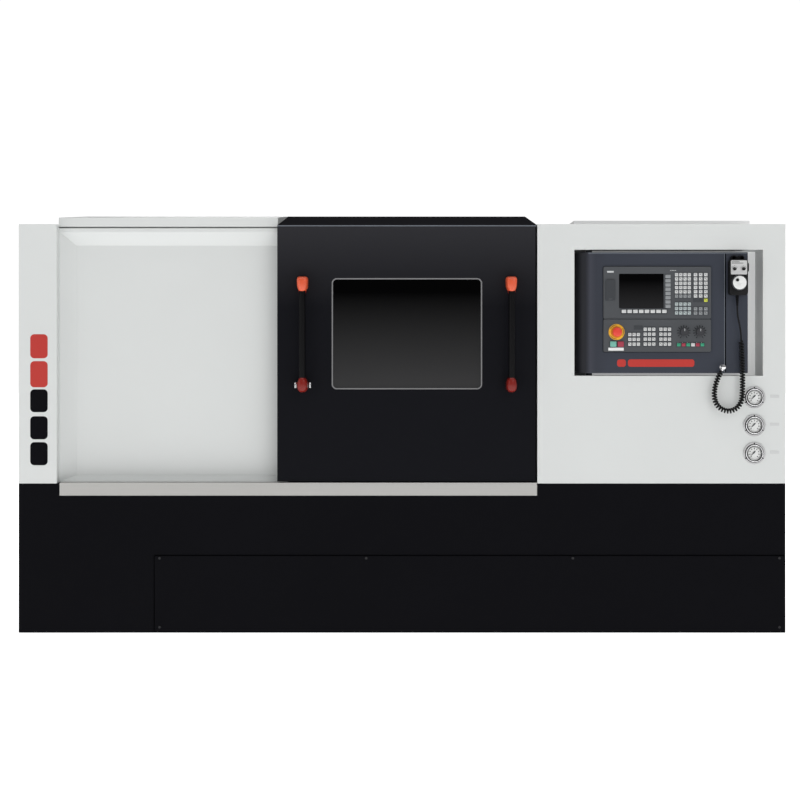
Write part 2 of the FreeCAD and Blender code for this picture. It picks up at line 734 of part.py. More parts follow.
def handle_zs():
    half = (HANDLE_SPAN - HANDLE_CAP[1]) / 2
    return [HANDLE_CENTRE_Z - half, HANDLE_CENTRE_Z + half]


def handle_bolt(x, z, gap):
    return cylinder(x, DOOR_FACE, z, HANDLE_BOLT_RADIUS + gap, 2 * SHEET, (0, 1, 0))


def handles():
    """Upright bars held between rounded end pieces that stand on the door."""
    width, height, depth = HANDLE_CAP
    low, high = handle_zs()
    bar_z0 = low + height / 2 - HANDLE_SOCKET
    bar_length = high - height / 2 + HANDLE_SOCKET - bar_z0
    bar_y = DOOR_FACE - HANDLE_AXIS_REACH
    for x in handle_xs():
        bar = cylinder(x, bar_y, bar_z0, HANDLE_BAR_RADIUS, bar_length, (0, 0, 1))
        node("handle_bars", bar)
        for z in (low, high):
            cap = plate_y(
                x - width / 2,
                x + width / 2,
                z - height / 2,
                z + height / 2,
                DOOR_FACE - depth,
                DOOR_FACE,
                HANDLE_CAP_CORNER,
            )
            node("handle_ends", fuse(cap.cut(bar), handle_bolt(x, z, 0)))


# ---------------------------------------------------------------- operator console
def console_box():
    """Hollow console whose left end is rounded about the pivot that it swings on."""
    half = CONSOLE_DEPTH / 2

    def body(wall):
        block = box(
            PIVOT_X,
            CONSOLE_RIGHT - wall,
            CONSOLE_FACE + wall,
            CONSOLE_BACK - wall,
            CONSOLE_BOTTOM + wall,
            CONSOLE_TOP - wall,
        )
        end = cylinder(
            PIVOT_X,
            PIVOT_Y,
            CONSOLE_BOTTOM + wall,
            half - wall,
            CONSOLE_TOP - CONSOLE_BOTTOM - 2 * wall,
            (0, 0, 1),
        )
        return fuse(block, end)

    cutouts = [
        unit_body(CNC_UNIT_BOTTOM, CNC_UNIT_HEIGHT, CLEARANCE),
        unit_body(MACHINE_PANEL_BOTTOM, MACHINE_PANEL_HEIGHT, CLEARANCE),
    ]
    lower = cylinder(
        PIVOT_X,
        PIVOT_Y,
        OPENING_BOTTOM - PIVOT_PLATE,
        PIVOT_RADIUS,
        CONSOLE_BOTTOM + SHEET - OPENING_BOTTOM + PIVOT_PLATE,
        (0, 0, 1),
    )
    thrust = cylinder(
        PIVOT_X,
        PIVOT_Y,
        OPENING_BOTTOM + CLEARANCE,
        THRUST_RADIUS,
        CONSOLE_BOTTOM - OPENING_BOTTOM - CLEARANCE,
        (0, 0, 1),
    )
    upper_z = CONSOLE_TOP - SHEET
    upper = cylinder(
        PIVOT_X, PIVOT_Y, upper_z, PIVOT_RADIUS, OPENING_TOP + PIVOT_PLATE - upper_z, (0, 0, 1)
    )
    shell = body(0).cut(body(SHEET)).cut(cutouts)
    node("console_box", fuse(shell, lower, thrust, upper))


def unit_body(bottom, height, gap):
    """The part of a control unit that sits through the console's face."""
    return box(
        UNIT_LEFT + UNIT_BEZEL - gap,
        UNIT_LEFT + UNIT_WIDTH - UNIT_BEZEL + gap,
        CONSOLE_FACE,
        CONSOLE_FACE + UNIT_SINK,
        bottom + UNIT_BEZEL - gap,
        bottom + height - UNIT_BEZEL + gap,
    )


def unit_plate(bottom, height):
    return box(UNIT_LEFT, UNIT_LEFT + UNIT_WIDTH, UNIT_FACE, CONSOLE_FACE, bottom, bottom + height)


def cnc_panel():
    """Screen unit: sunk screen, and two ears for the flap over its sockets."""
    left, drop, width, height = SCREEN
    top = CNC_UNIT_TOP - drop
    screen = box(
        UNIT_LEFT + left, UNIT_LEFT + left + width, UNIT_FACE - 1, UNIT_FACE + SCREEN_SINK, top - height, top
    )
    body = fuse(
        unit_plate(CNC_UNIT_BOTTOM, CNC_UNIT_HEIGHT), unit_body(CNC_UNIT_BOTTOM, CNC_UNIT_HEIGHT, 0)
    ).cut(screen)
    flap_left, flap_drop, flap_width, flap_height = FLAP
    x = UNIT_LEFT + flap_left
    z1 = CNC_UNIT_TOP - flap_drop
    z0 = z1 - flap_height
    axis_y = UNIT_FACE - CLEARANCE - FLAP_THICKNESS / 2
    ears = []
    for ear_z in (z0 - EAR - CLEARANCE, z1 + CLEARANCE):
        ears.append(box(x - EAR / 2, x + EAR / 2, axis_y - EAR / 2, UNIT_FACE, ear_z, ear_z + EAR))
    pin_bore = cylinder(
        x, axis_y, z0 - EAR - CLEARANCE, FLAP_PIN_RADIUS + RUNNING_GAP, flap_height + 2 * EAR + 1, (0, 0, 1)
    )
    node("cnc_panel", fuse(body, *ears).cut(pin_bore))
    plate = box(
        x, x + flap_width, axis_y - FLAP_THICKNESS / 2, axis_y + FLAP_THICKNESS / 2, z0, z1
    )
    knuckle = cylinder(x, axis_y, z0, FLAP_THICKNESS / 2, flap_height, (0, 0, 1))
    pin = cylinder(x, axis_y, z0 - EAR, FLAP_PIN_RADIUS, flap_height + 2 * EAR, (0, 0, 1))
    node("usb_flap", fuse(plate, knuckle, pin))


def panel_point(at):
    """A place on the machine panel from its left and top edges."""
    return UNIT_LEFT + at[0], MACHINE_PANEL_TOP - at[1]


def machine_panel():
    body = fuse(
        unit_plate(MACHINE_PANEL_BOTTOM, MACHINE_PANEL_HEIGHT),
        unit_body(MACHINE_PANEL_BOTTOM, MACHINE_PANEL_HEIGHT, 0),
    )
    deep = UNIT_PROUD + UNIT_SINK - 2 * SHEET
    cuts = []
    for at, radius in (
        (ESTOP_AT, ESTOP_STEM_RADIUS),
        (FEED_KNOB_AT, KNOB_STEM_RADIUS),
        (SPEED_KNOB_AT, KNOB_STEM_RADIUS),
    ):
        x, z = panel_point(at)
        cuts.append(cylinder(x, UNIT_FACE, z, radius + RUNNING_GAP, deep, (0, 1, 0)))
    for at in (START_AT, STOP_AT):
        cuts.append(button_block(at, CLEARANCE, UNIT_FACE, UNIT_FACE + BUTTON_LENGTH + BUTTON_TRAVEL))
    node("machine_panel", body.cut(cuts))


def button_block(at, gap, y0, y1):
    x, z = panel_point(at)
    half_w = BUTTON_SIZE[0] / 2 + gap
    half_h = BUTTON_SIZE[1] / 2 + gap
    return box(x - half_w, x + half_w, y0, y1, z - half_h, z + half_h)


def machine_panel_controls():
    x, z = panel_point(ESTOP_AT)
    collar = cylinder(x, UNIT_FACE, z, COLLAR_RADIUS, COLLAR_HEIGHT, (0, -1, 0))
    bore = cylinder(x, UNIT_FACE, z, ESTOP_STEM_RADIUS + CLEARANCE, COLLAR_HEIGHT, (0, -1, 0))
    node("estop_collar", collar.cut(bore))
    head_depth = ESTOP_HEIGHT - COLLAR_HEIGHT - ESTOP_TRAVEL - SHEET
    head = cylinder(x, UNIT_FACE - ESTOP_HEIGHT, z, ESTOP_RADIUS, head_depth, (0, 1, 0))
    stem = cylinder(x, UNIT_FACE - ESTOP_HEIGHT, z, ESTOP_STEM_RADIUS, ESTOP_HEIGHT + 10, (0, 1, 0))
    node("estop_button", fuse(head, stem))
    for name, at in (("start_button", START_AT), ("stop_button", STOP_AT)):
        node(name, button_block(at, 0, UNIT_FACE - BUTTON_PROUD, UNIT_FACE + BUTTON_LENGTH - BUTTON_PROUD))
    for name, at in (("feed_knob", FEED_KNOB_AT), ("spindle_knob", SPEED_KNOB_AT)):
        x, z = panel_point(at)
        node(name, knob(x, UNIT_FACE, z, KNOB_RADIUS, KNOB_HEIGHT, KNOB_STEM_RADIUS))


def knob(x, face_y, z, radius, height, stem_radius):
    """A round knob that turns just clear of the face that its stem goes into."""
    grip = cylinder(x, face_y - height, z, radius, height - CLEARANCE, (0, 1, 0))
    stem = cylinder(x, face_y - height, z, stem_radius, height + KNOB_STEM_DEPTH, (0, 1, 0))
    return fuse(grip, stem)


def panel_keys():
    """Raised key mats on both control units."""
    for mats, top in ((CNC_MATS, CNC_UNIT_TOP), (MACHINE_MATS, MACHINE_PANEL_TOP)):
        for left, drop, width, height in mats:
            x = UNIT_LEFT + left
            mat = box(x, x + width, UNIT_FACE - KEY_PROUD, UNIT_FACE, top - drop - height, top - drop)
            node("panel_keys", mat)


# ---------------------------------------------------------------- hand-held pendant and its cord
def pendant():
    x0, x1 = PENDANT_LEFT, PENDANT_RIGHT
    z0, z1 = PENDANT_BOTTOM, PENDANT_TOP
    backing_z = (z0 + HOLDER_RISE, z1 + HOLDER_TOP)
    backing = box(x0 + HOLDER_INSET, x1 - HOLDER_INSET, PENDANT_BACK, CONSOLE_FACE, *backing_z)
    hook = box(
        x0 + HOLDER_INSET,
        x1 - HOLDER_INSET,
        PENDANT_BACK - PENDANT_THICKNESS / 2,
        PENDANT_BACK,
        z1,
        z1 + HOLDER_TOP,
    )
    node("pendant_holder", fuse(backing, hook))
    c = PENDANT_CORNER * 2
    body = prism(
        [
            (x0, PENDANT_FACE, z1),
            (x1, PENDANT_FACE, z1),
            (x1, PENDANT_FACE, z0 + c),
            (x1 - c / 2, PENDANT_FACE, z0),
            (x0 + c / 2, PENDANT_FACE, z0),
            (x0, PENDANT_FACE, z0 + c),
        ],
        (0, PENDANT_THICKNESS, 0),
    )
    cx = PENDANT_CENTRE_X
    wheel_z = z1 - WHEEL_DROP
    dial_z = z1 - DIAL_DROP
    bores = [cylinder(cx, PENDANT_FACE, wheel_z, WHEEL_STEM_RADIUS + RUNNING_GAP, 14, (0, 1, 0))]
    for side in (-1, 1):
        x = cx + side * DIAL_SPREAD
        bores.append(cylinder(x, PENDANT_FACE, dial_z, DIAL_STEM_RADIUS + RUNNING_GAP, 12, (0, 1, 0)))
    pocket_depth = TRIGGER_PROUD + TRIGGER_TRAVEL
    bores.append(trigger_block(CLEARANCE, x1 - pocket_depth - TRIGGER_TRAVEL, x1 + 1))
    node("pendant_body", body.cut(bores))
    wheel = knob(cx, PENDANT_FACE, wheel_z, WHEEL_RADIUS, WHEEL_HEIGHT, WHEEL_STEM_RADIUS)
    node("pendant_handwheel", wheel)
    for name, side in (("axis_knob", -1), ("step_knob", 1)):
        x = cx + side * DIAL_SPREAD
        node(name, knob(x, PENDANT_FACE, dial_z, DIAL_RADIUS, DIAL_HEIGHT, DIAL_STEM_RADIUS))
    node("enable_button", trigger_block(0, x1 - pocket_depth, x1 + TRIGGER_PROUD))


def trigger_block(gap, x0, x1):
    top = PENDANT_TOP - TRIGGER_TOP_DROP
    half = TRIGGER_SIZE[0] / 2 + gap
    return box(x0, x1, CORD_Y - half, CORD_Y + half, top - TRIGGER_SIZE[1] - gap, top + gap)


def rounded_path(points):
    """Straight runs joined by tangent arcs, as large as their two runs allow."""
    runs = [(b - a).Length for a, b in zip(points, points[1:])]
    edges = []
    radii = []
    start = points[0]
    for i in range(1, len(points) - 1):
        before = (points[i] - points[i - 1]).normalize()
        after = (points[i + 1] - points[i]).normalize()
        turn = before.getAngle(after)
        tangent = 0.45 * min(runs[i - 1], runs[i])
        radius = tangent / math.tan(turn / 2)
        entry = points[i] - before * tangent
        leave = points[i] + after * tangent
        inward = (after - before).normalize()
        middle = points[i] + inward * (radius / math.cos(turn / 2) - radius)
        edges.append(Part.LineSegment(start, entry).toShape())
        edges.append(Part.Arc(entry, middle, leave).toShape())
        radii.append(round(radius, 1))
        start = leave
    edges.append(Part.LineSegment(start, points[-1]).toShape())
    return Part.Wire(edges), radii


def tube(points, diameter, name):
    """A round tube along a rounded path, with its radii and volume printed for review."""
    path, radii = rounded_path([V(*p) for p in points])
    first = V(*points[1]) - V(*points[0])
    ring = Part.Wire(Part.Circle(V(*points[0]), first, diameter / 2).toShape())
    solid = path.makePipeShell([ring], True, False)
    ideal = math.pi * diameter**2 / 4 * path.Length
    ratio = round(solid.Volume / ideal, 4)
    print(name, "radii", radii, "length", round(path.Length, 1), "volume ratio", ratio)
    return solid


def cord():
    """Strain relief, straight lead, stretched curly length and the gland it returns to."""
    wide, narrow = RELIEF_RADII
    relief = Part.makeCone(wide, narrow, RELIEF_LENGTH, V(RELIEF_X, CORD_Y, PENDANT_BOTTOM), V(0, 0, -1))
    lead = [(x, CORD_Y, z) for x, z in LEAD_LINE]
    coil = [(x, CORD_Y, z) for x, z in COIL_LINE]
    node("cord_lead", tube(lead, CORD_DIAMETER, "lead"))
    node("cord_coil", tube(coil, COIL_DIAMETER, "coil"))
    x, z = GLAND_CENTRE.x, GLAND_CENTRE.z
    stand = cylinder(x, CORD_Y - GLAND_RADIUS, z, GLAND_RADIUS, GLAND_STANDOFF, (0, 1, 0))
    outlet = Part.makeCylinder(GLAND_OUTLET_RADIUS, GLAND_OUTLET_LENGTH, GLAND_CENTRE, -CORD_END)
    node("cord_gland", relief, fuse(stand, outlet))


# ---------------------------------------------------------------- gauges
def gauges():
    for i, z in enumerate(GAUGE_ZS):
        flange = cylinder(GAUGE_X, FRONT, z, GAUGE_FLANGE_RADIUS, GAUGE_FLANGE, (0, -1, 0))
        bezel = cylinder(GAUGE_X, FRONT, z, GAUGE_BEZEL_RADIUS, GAUGE_BEZEL, (0, -1, 0))
        body = cylinder(GAUGE_X, FRONT, z, GAUGE_BODY_RADIUS, GAUGE_BODY_DEPTH, (0, 1, 0))
        dial_y = FRONT - GAUGE_BEZEL
        dial = cylinder(GAUGE_X, dial_y, z, GAUGE_DIAL_RADIUS, GAUGE_DIAL_DEPTH, (0, 1, 0))
        pin_y = dial_y + GAUGE_DIAL_DEPTH / 2
        pin_length = GAUGE_DIAL_DEPTH
        bore = cylinder(GAUGE_X, pin_y, z, NEEDLE_PIN_RADIUS + RUNNING_GAP, pin_length + 1, (0, 1, 0))
        node("gauge_cases", fuse(flange, bezel, body).cut([dial, bore]))
        tip = NEEDLE_LENGTH
        blade = prism(
            [
                (GAUGE_X - tip * COS45, pin_y, z - tip * COS45),
                (GAUGE_X + 2, pin_y, z - 2),
                (GAUGE_X + tip / 3 * COS45, pin_y, z + tip / 3 * COS45),
                (GAUGE_X - 2, pin_y, z + 2),
            ],
            (0, 1, 0),
        )
        pin = cylinder(GAUGE_X, pin_y, z, NEEDLE_PIN_RADIUS, pin_length, (0, 1, 0))
        node(f"gauge_needle_{i + 1}", fuse(blade, pin))


# ---------------------------------------------------------------- bed
def slant_bed():
    """Hollow casting under the sloping ways, on a slab that ties the cabinet and the feet."""
    top_b = WAY_B - WAY_HEIGHT
    y_low, z_low = slope(BED_LOWER_A, top_b)
    y_high, z_high = slope(BED_UPPER_A, top_b)
    slab_top = BED_SLAB_BOTTOM + BED_SLAB
    outline = [(y_low, slab_top), (y_low, z_low), (y_high, z_high), (y_high, slab_top)]
    w = BED_WALL
    side = w / COS45 - w
    hollow = [
        (y_low + w, slab_top),
        (y_low + w, z_low - side),
        (y_high - w, z_high - w / COS45 - w),
        (y_high - w, slab_top),
    ]
    casting = prism_x(outline, BED_LEFT, BED_RIGHT).cut(prism_x(hollow, BED_LEFT + w, BED_RIGHT - w))
    slab = box(BED_LEFT, BED_RIGHT, FRONT + SHEET, BACK - SHEET, BED_SLAB_BOTTOM, slab_top)
    ways = [
        slope_block(a, a + WAY_WIDTH, top_b - 1, WAY_B, WAY_LEFT, WAY_RIGHT)
        for a in (LOWER_WAY_A, UPPER_WAY_A)
    ]
    t = SCREW_TUNNEL
    bearings = [
        slope_block(SCREW_A - t, SCREW_A + t, top_b - 1, SCREW_B + t, x, x + BEARING_LENGTH)
        for x in (WAY_LEFT, CHAMBER_RIGHT + 2 * SHEET)
    ]
    bore = slope_cylinder_x(SCREW_A, SCREW_B, BALL_SCREW_RADIUS + RUNNING_GAP, WAY_LEFT - 1, SCREW_RIGHT)
    node("slant_bed", fuse(casting, slab, *ways, *bearings).cut(bore))
    feet = []
    for x in FOOT_XS:
        for y in (FRONT + FOOT_INSET, BACK - FOOT_INSET):
            disc = cylinder(x, y, 0, FOOT_RADIUS, FOOT_HEIGHT, (0, 0, 1))
            stud = cylinder(x, y, 0, FOOT_STUD_RADIUS, BED_SLAB_BOTTOM, (0, 0, 1))
            feet.append(fuse(disc, stud))
    node("leveling_feet", *feet)


def tray_z(y):
    """Middle of the sloping chip tray's sheet at a depth."""
    y_tray = slope(BED_LOWER_A, WAY_B - WAY_HEIGHT)[0] - CLEARANCE
    fall = (SILL_TOP - TRAY_LOW_Z - SHEET) / (y_tray - FIELD_Y)
    return SILL_TOP - SHEET / 2 - fall * (y - FIELD_Y)


def chamber_outline(ceiling):
    """Section of the work chamber above the tray and the bed, under a ceiling given front to back."""
    top_b = WAY_B - WAY_HEIGHT
    y_low, z_low = slope(BED_LOWER_A, top_b)
    y_high, z_high = slope(BED_UPPER_A, top_b)
    gap = CLEARANCE
    return [(ceiling[0][0], tray_z(ceiling[0][0]))] + ceiling + [
        (FRONT + CHAMBER_BACK, CHAMBER_STEP_Z),
        (y_high + gap, CHAMBER_STEP_Z),
        (y_high + gap, z_high + gap),
        (y_low - gap, z_low + gap),
        (y_low - gap, tray_z(y_low - gap)),
    ]


def splash_guard():
    """Chamber walls and sloping chip tray around the ways."""
    back_y = FRONT + CHAMBER_BACK
    high = ROOF_TOP - 3 * SHEET
    low = COVER_TOP - 2 * SHEET
    wall_y = FIELD_Y + SHEET
    recess_y = FRONT + RECESS_DEPTH + SHEET
    left_ceiling = [
        (wall_y, TRACK_BOTTOM - SHEET),
        (wall_y + SHEET, TRACK_BOTTOM - SHEET),
        (ROOF_BEND_Y, high),
        (back_y, high),
    ]
    x0, x1 = CHAMBER_LEFT, CHAMBER_RIGHT + SHEET
    left = prism_x(chamber_outline(left_ceiling), x0, x0 + SHEET)
    right = prism_x(chamber_outline([(recess_y, low), (back_y, low)]), CHAMBER_RIGHT, x1)
    y_bed = slope(BED_LOWER_A, WAY_B - WAY_HEIGHT)[0] - CLEARANCE
    tray_edges = [
        (FIELD_Y, CABINET_TOP),
        (FIELD_Y, SILL_TOP),
        (y_bed, TRAY_LOW_Z + SHEET),
        (y_bed, TRAY_LOW_Z),
    ]
    tray = prism_x(tray_edges, x0, x1)
    y_high = slope(BED_UPPER_A, WAY_B - WAY_HEIGHT)[0] + CLEARANCE
    back_left = box(x0, RIGHT_COVER_LEFT - SHEET, back_y, back_y + SHEET, CHAMBER_STEP_Z, high)
    back_right = box(RIGHT_COVER_LEFT - 2 * SHEET, x1, back_y, back_y + SHEET, CHAMBER_STEP_Z, low)
    step = box(x0, x1, y_high, back_y + SHEET, CHAMBER_STEP_Z - SHEET, CHAMBER_STEP_Z)
    holes = [
        cylinder(x0 - 1, SPINDLE_Y, SPINDLE_Z, SPINDLE_RADIUS + SHEET, 2 * SHEET, (1, 0, 0)),
        slope_cylinder_x(SCREW_A, SCREW_B, BALL_SCREW_RADIUS + SHEET, CHAMBER_RIGHT - 1, x1 + SHEET),
    ]
    node("splash_guard", fuse(left, right, tray, back_left, back_right, step).cut(holes))


# ---------------------------------------------------------------- headstock and spindle drive
def headstock():
    body = slope_block(
        -HEADSTOCK_HALF, HEADSTOCK_HALF, WAY_B - WAY_HEIGHT, HEADSTOCK_TOP_B, HEADSTOCK_LEFT, HEADSTOCK_RIGHT
    )
    bore = spindle_line(HEADSTOCK_LEFT, HEADSTOCK_RIGHT, SPINDLE_RADIUS + RUNNING_GAP)
    node("headstock", body.cut(bore))


def spindle_line(x0, x1, radius):
    return cylinder(x0, SPINDLE_Y, SPINDLE_Z, radius, x1 - x0, (1, 0, 0))


def spindle():
    """Hollow spindle with its nose, belt pulley and chuck actuator."""
    line = fuse(
        spindle_line(SPINDLE_LEFT, SPINDLE_NOSE - NOSE_LENGTH, SPINDLE_RADIUS),
        spindle_line(SPINDLE_NOSE - NOSE_LENGTH, SPINDLE_NOSE, NOSE_RADIUS),
        spindle_line(PULLEY_LEFT, PULLEY_LEFT + PULLEY_WIDTH, SPINDLE_PULLEY_RADIUS),
        spindle_line(SPINDLE_LEFT, SPINDLE_LEFT + ACTUATOR_LENGTH, ACTUATOR_RADIUS),
    )
    node("spindle", line.cut(spindle_line(SPINDLE_LEFT, SPINDLE_NOSE, SPINDLE_BORE_RADIUS)))


def turned(shape, degrees):
    """A copy turned about the spindle axis."""
    copy = shape.copy()
    copy.rotate(V(0, SPINDLE_Y, SPINDLE_Z), V(1, 0, 0), degrees)
    return copy


def chuck():
    """Three-jaw chuck closed on round stock."""
    slot_floor = CHUCK_FACE - JAW_SLOT
    body = spindle_line(CHUCK_LEFT, CHUCK_FACE, CHUCK_RADIUS)
    body = body.cut(spindle_line(CHUCK_LEFT, CHUCK_FACE, SPINDLE_BORE_RADIUS))
    body = body.cut(spindle_line(slot_floor, CHUCK_FACE, GRIP_RADIUS + CHUCK_MOUTH_CLEARANCE))
    half = JAW_WIDTH / 2
    slot = box(
        slot_floor - CLEARANCE,
        CHUCK_FACE,
        SPINDLE_Y - half - RUNNING_GAP,
        SPINDLE_Y + half + RUNNING_GAP,
        SPINDLE_Z + JAW_INNER - 5,
        SPINDLE_Z + CHUCK_RADIUS,
    )
    jaw = box(
        slot_floor,
        CHUCK_FACE + JAW_LENGTH,
        SPINDLE_Y - half,
        SPINDLE_Y + half,
        SPINDLE_Z + JAW_INNER,
        SPINDLE_Z + JAW_OUTER,
    )
    jaw = jaw.cut(spindle_line(slot_floor - 1, CHUCK_FACE + JAW_LENGTH + 1, GRIP_RADIUS))
    for i in range(3):
        angle = 120.0 * i
        body = body.cut(turned(slot, angle))
        node(f"jaw_{i + 1}", turned(jaw, angle))
    node("chuck_body", body)


def belt_loop(gap):
    """Outline of a belt around both pulleys, grown by a gap."""
    run = math.hypot(MOTOR_Y - SPINDLE_Y, MOTOR_Z - SPINDLE_Z)
    x0 = PULLEY_LEFT + BELT_INSET
    width = PULLEY_WIDTH - 2 * BELT_INSET
    big = SPINDLE_PULLEY_RADIUS + gap
    small = MOTOR_PULLEY_RADIUS + gap
    lean = math.asin((big - small) / run)
    heading = math.atan2(MOTOR_Z - SPINDLE_Z, MOTOR_Y - SPINDLE_Y)
    points = []
    for side in (1, -1):
        angle = heading + side * (math.pi / 2 - lean)
        near = (SPINDLE_Y + big * math.cos(angle), SPINDLE_Z + big * math.sin(angle))
        far = (MOTOR_Y + small * math.cos(angle), MOTOR_Z + small * math.sin(angle))
        points.extend([near, far] if side == 1 else [far, near])
    web = prism_x(points, x0, x0 + width)
    first = cylinder(x0, SPINDLE_Y, SPINDLE_Z, big, width, (1, 0, 0))
    second = cylinder(x0, MOTOR_Y, MOTOR_Z, small, width, (1, 0, 0))
    return fuse(web, first, second)


def drive():
    node("drive_belt", belt_loop(CLEARANCE + BELT_THICKNESS).cut(belt_loop(CLEARANCE)))
    motor_left = PULLEY_LEFT + PULLEY_WIDTH + MOTOR_STANDOFF
    casing = cylinder(motor_left, MOTOR_Y, MOTOR_Z, MOTOR_RADIUS, MOTOR_LENGTH, (1, 0, 0))
    bed_back = slope(BED_UPPER_A, WAY_B - WAY_HEIGHT)[0]
    mount = box(
        BED_LEFT,
        motor_left + MOTOR_LENGTH,
        bed_back,
        MOTOR_Y,
        MOTOR_Z - MOTOR_RADIUS / 2,
        MOTOR_Z + MOTOR_RADIUS / 2,
    )
    shaft_depth = MOTOR_LENGTH / 2
    bore = cylinder(
        motor_left, MOTOR_Y, MOTOR_Z, MOTOR_SHAFT_RADIUS + RUNNING_GAP, shaft_depth + 1, (1, 0, 0)
    )
    half = SERVO_SIZE / 2
    b0 = WAY_B - WAY_HEIGHT
    servo = slope_block(
        SCREW_A - half, SCREW_A + half, b0, b0 + SERVO_SIZE, SCREW_RIGHT, SCREW_RIGHT + SERVO_LENGTH
    )
    node("drive_motors", fuse(casing, mount).cut(bore), servo)
    pulley = cylinder(PULLEY_LEFT, MOTOR_Y, MOTOR_Z, MOTOR_PULLEY_RADIUS, PULLEY_WIDTH, (1, 0, 0))
    shaft = cylinder(
        PULLEY_LEFT, MOTOR_Y, MOTOR_Z, MOTOR_SHAFT_RADIUS, motor_left + shaft_depth - PULLEY_LEFT, (1, 0, 0)
    )
    node("motor_pulley", fuse(pulley, shaft))


# ---------------------------------------------------------------- carriage, turret and tailstock
def saddle():
    """Carriage that bridges the ways, with the nut of the long screw under it."""
    block = slope_block(
        SADDLE_LOWER_A, SADDLE_UPPER_A, WAY_B + SLIDE_GAP, SADDLE_TOP_B, SADDLE_LEFT, SADDLE_RIGHT
    )
    t = SCREW_TUNNEL
    tunnel = slope_block(SCREW_A - t, SCREW_A + t, WAY_B - 1, SCREW_B + t, SADDLE_LEFT, SADDLE_RIGHT)
    nut_left = (SADDLE_LEFT + SADDLE_RIGHT - NUT_LENGTH) / 2
    nut = slope_block(
        SCREW_A - t + 2, SCREW_A + t - 2, WAY_B, SCREW_B + t, nut_left, nut_left + NUT_LENGTH
    )
    bore = slope_cylinder_x(
        SCREW_A, SCREW_B, BALL_SCREW_RADIUS + RUNNING_GAP, SADDLE_LEFT, SADDLE_RIGHT
    )
    node("saddle", fuse(block.cut(tunnel), nut).cut(bore))
    node("z_screw", slope_cylinder_x(SCREW_A, SCREW_B, BALL_SCREW_RADIUS, WAY_LEFT, SCREW_RIGHT))


def cross_slide():
    """Slide with the turret's indexing housing."""
    b0 = SADDLE_TOP_B + SLIDE_GAP
    b1 = b0 + SLIDE_THICKNESS
    x0 = TURRET_RIGHT + TURRET_GAP
    slide_end = SADDLE_RIGHT - SLIDE_END_INSET
    slide = slope_block(SLIDE_LOWER_A, SLIDE_LOWER_A + SLIDE_LENGTH, b0, b1, x0, slide_end)
    h = INDEXER_HALF
    housing = slope_block(TURRET_A - h, TURRET_A + h, b1 - 1, h, x0, x0 + INDEXER_LENGTH)
    bore_end = x0 + INDEXER_LENGTH - INDEXER_END_WALL
    bore = slope_cylinder_x(TURRET_A, 0, TURRET_PIN_RADIUS + RUNNING_GAP, x0, bore_end)
    node("cross_slide", fuse(slide, housing).cut(bore))


def turret_disc():
    """Tool disc with turning tools and boring bars in turn around it."""
    disc = slope_cylinder_x(TURRET_A, 0, TURRET_RADIUS, TURRET_LEFT, TURRET_RIGHT)
    pin_end = TURRET_RIGHT + INDEXER_LENGTH - INDEXER_END_WALL
    pin = slope_cylinder_x(TURRET_A, 0, TURRET_PIN_RADIUS, TURRET_LEFT, pin_end)
    cy, cz = slope(TURRET_A, 0)
    mid_x = (TURRET_LEFT + TURRET_RIGHT) / 2
    half = TOOL_SHANK / 2
    tools = []
    bar_radius, bar_length = BORING_BAR
    for i in range(TURRET_STATIONS):
        angle = 360.0 / TURRET_STATIONS * i
        if i % 2 == 0:
            tip_a = TURRET_A - TOOL_TIP_RADIUS
            root_a = TURRET_A - TURRET_RADIUS + TOOL_POCKET
            tool = slope_block(tip_a, root_a, -half, half, mid_x - half, mid_x + half)
        else:
            tool = slope_cylinder_x(
                TURRET_A - TURRET_RADIUS + BAR_INSET, 0, bar_radius, TURRET_LEFT - bar_length, TURRET_LEFT + 1
            )
        tool.rotate(V(0, cy, cz), V(1, 0, 0), angle)
        tools.append(tool)
    node("turret_disc", fuse(disc, pin, *tools))


def tailstock():
    x0, x1 = TAILSTOCK_LEFT, TAILSTOCK_LEFT + TAILSTOCK_LENGTH
    b0 = WAY_B + SLIDE_GAP
    base = slope_block(LOWER_WAY_A - 10, UPPER_WAY_A + WAY_WIDTH + 10, b0, b0 + TAILSTOCK_BASE, x0, x1)
    t = SCREW_TUNNEL
    tunnel = slope_block(SCREW_A - t, SCREW_A + t, b0 - 1, SCREW_B + t - 8, x0, x1)
    h = TAILSTOCK_HALF
    body = slope_block(-h, h, b0 + TAILSTOCK_BASE - 1, TAILSTOCK_TOP_B, x0, x1)
    barrel = spindle_line(x0, x0 + QUILL_SEAT, QUILL_RADIUS + RUNNING_GAP)
    node("tailstock", fuse(base.cut(tunnel), body).cut(barrel))
    rod = spindle_line(QUILL_FRONT, x0 + QUILL_SEAT - 10, QUILL_RADIUS)
    tip = Part.makeCone(
        CENTRE_RADIUS, 0.5, QUILL_FRONT - CENTRE_TIP, V(QUILL_FRONT, SPINDLE_Y, SPINDLE_Z), V(-1, 0, 0)
    )
    node("quill", fuse(rod, tip))


BUILDERS = [
    lower_cabinet,
    front_access_panel,
    door_sill,
    end_covers,
    left_front_cover,
    chamber_roof,
    door_track,
    right_front_cover,
    rear_cover,
    electrical_cabinet,
    door_panel,
    window,
    handles,
    console_box,
    cnc_panel,
    machine_panel,
    machine_panel_controls,
    panel_keys,
    pendant,
    cord,
    gauges,
    slant_bed,
    splash_guard,
    headstock,
    spindle,
    chuck,
    drive,
    saddle,
    cross_slide,
    turret_disc,
    tailstock,
]

for build in BUILDERS:
    build()

os.makedirs("parts", exist_ok=True)
for name, solids in sorted(NODES.items()):
    pieces = [piece for solid in solids for piece in solid.Solids]
    shape = pieces[0] if len(pieces) == 1 else Part.makeCompound(pieces)
    valid = all(piece.isValid() for piece in pieces)
    print(name, "solids", len(pieces), "valid", valid, "litres", round(shape.Volume / 1e6, 3))
    shape.exportStep(f"parts/{name}.step")
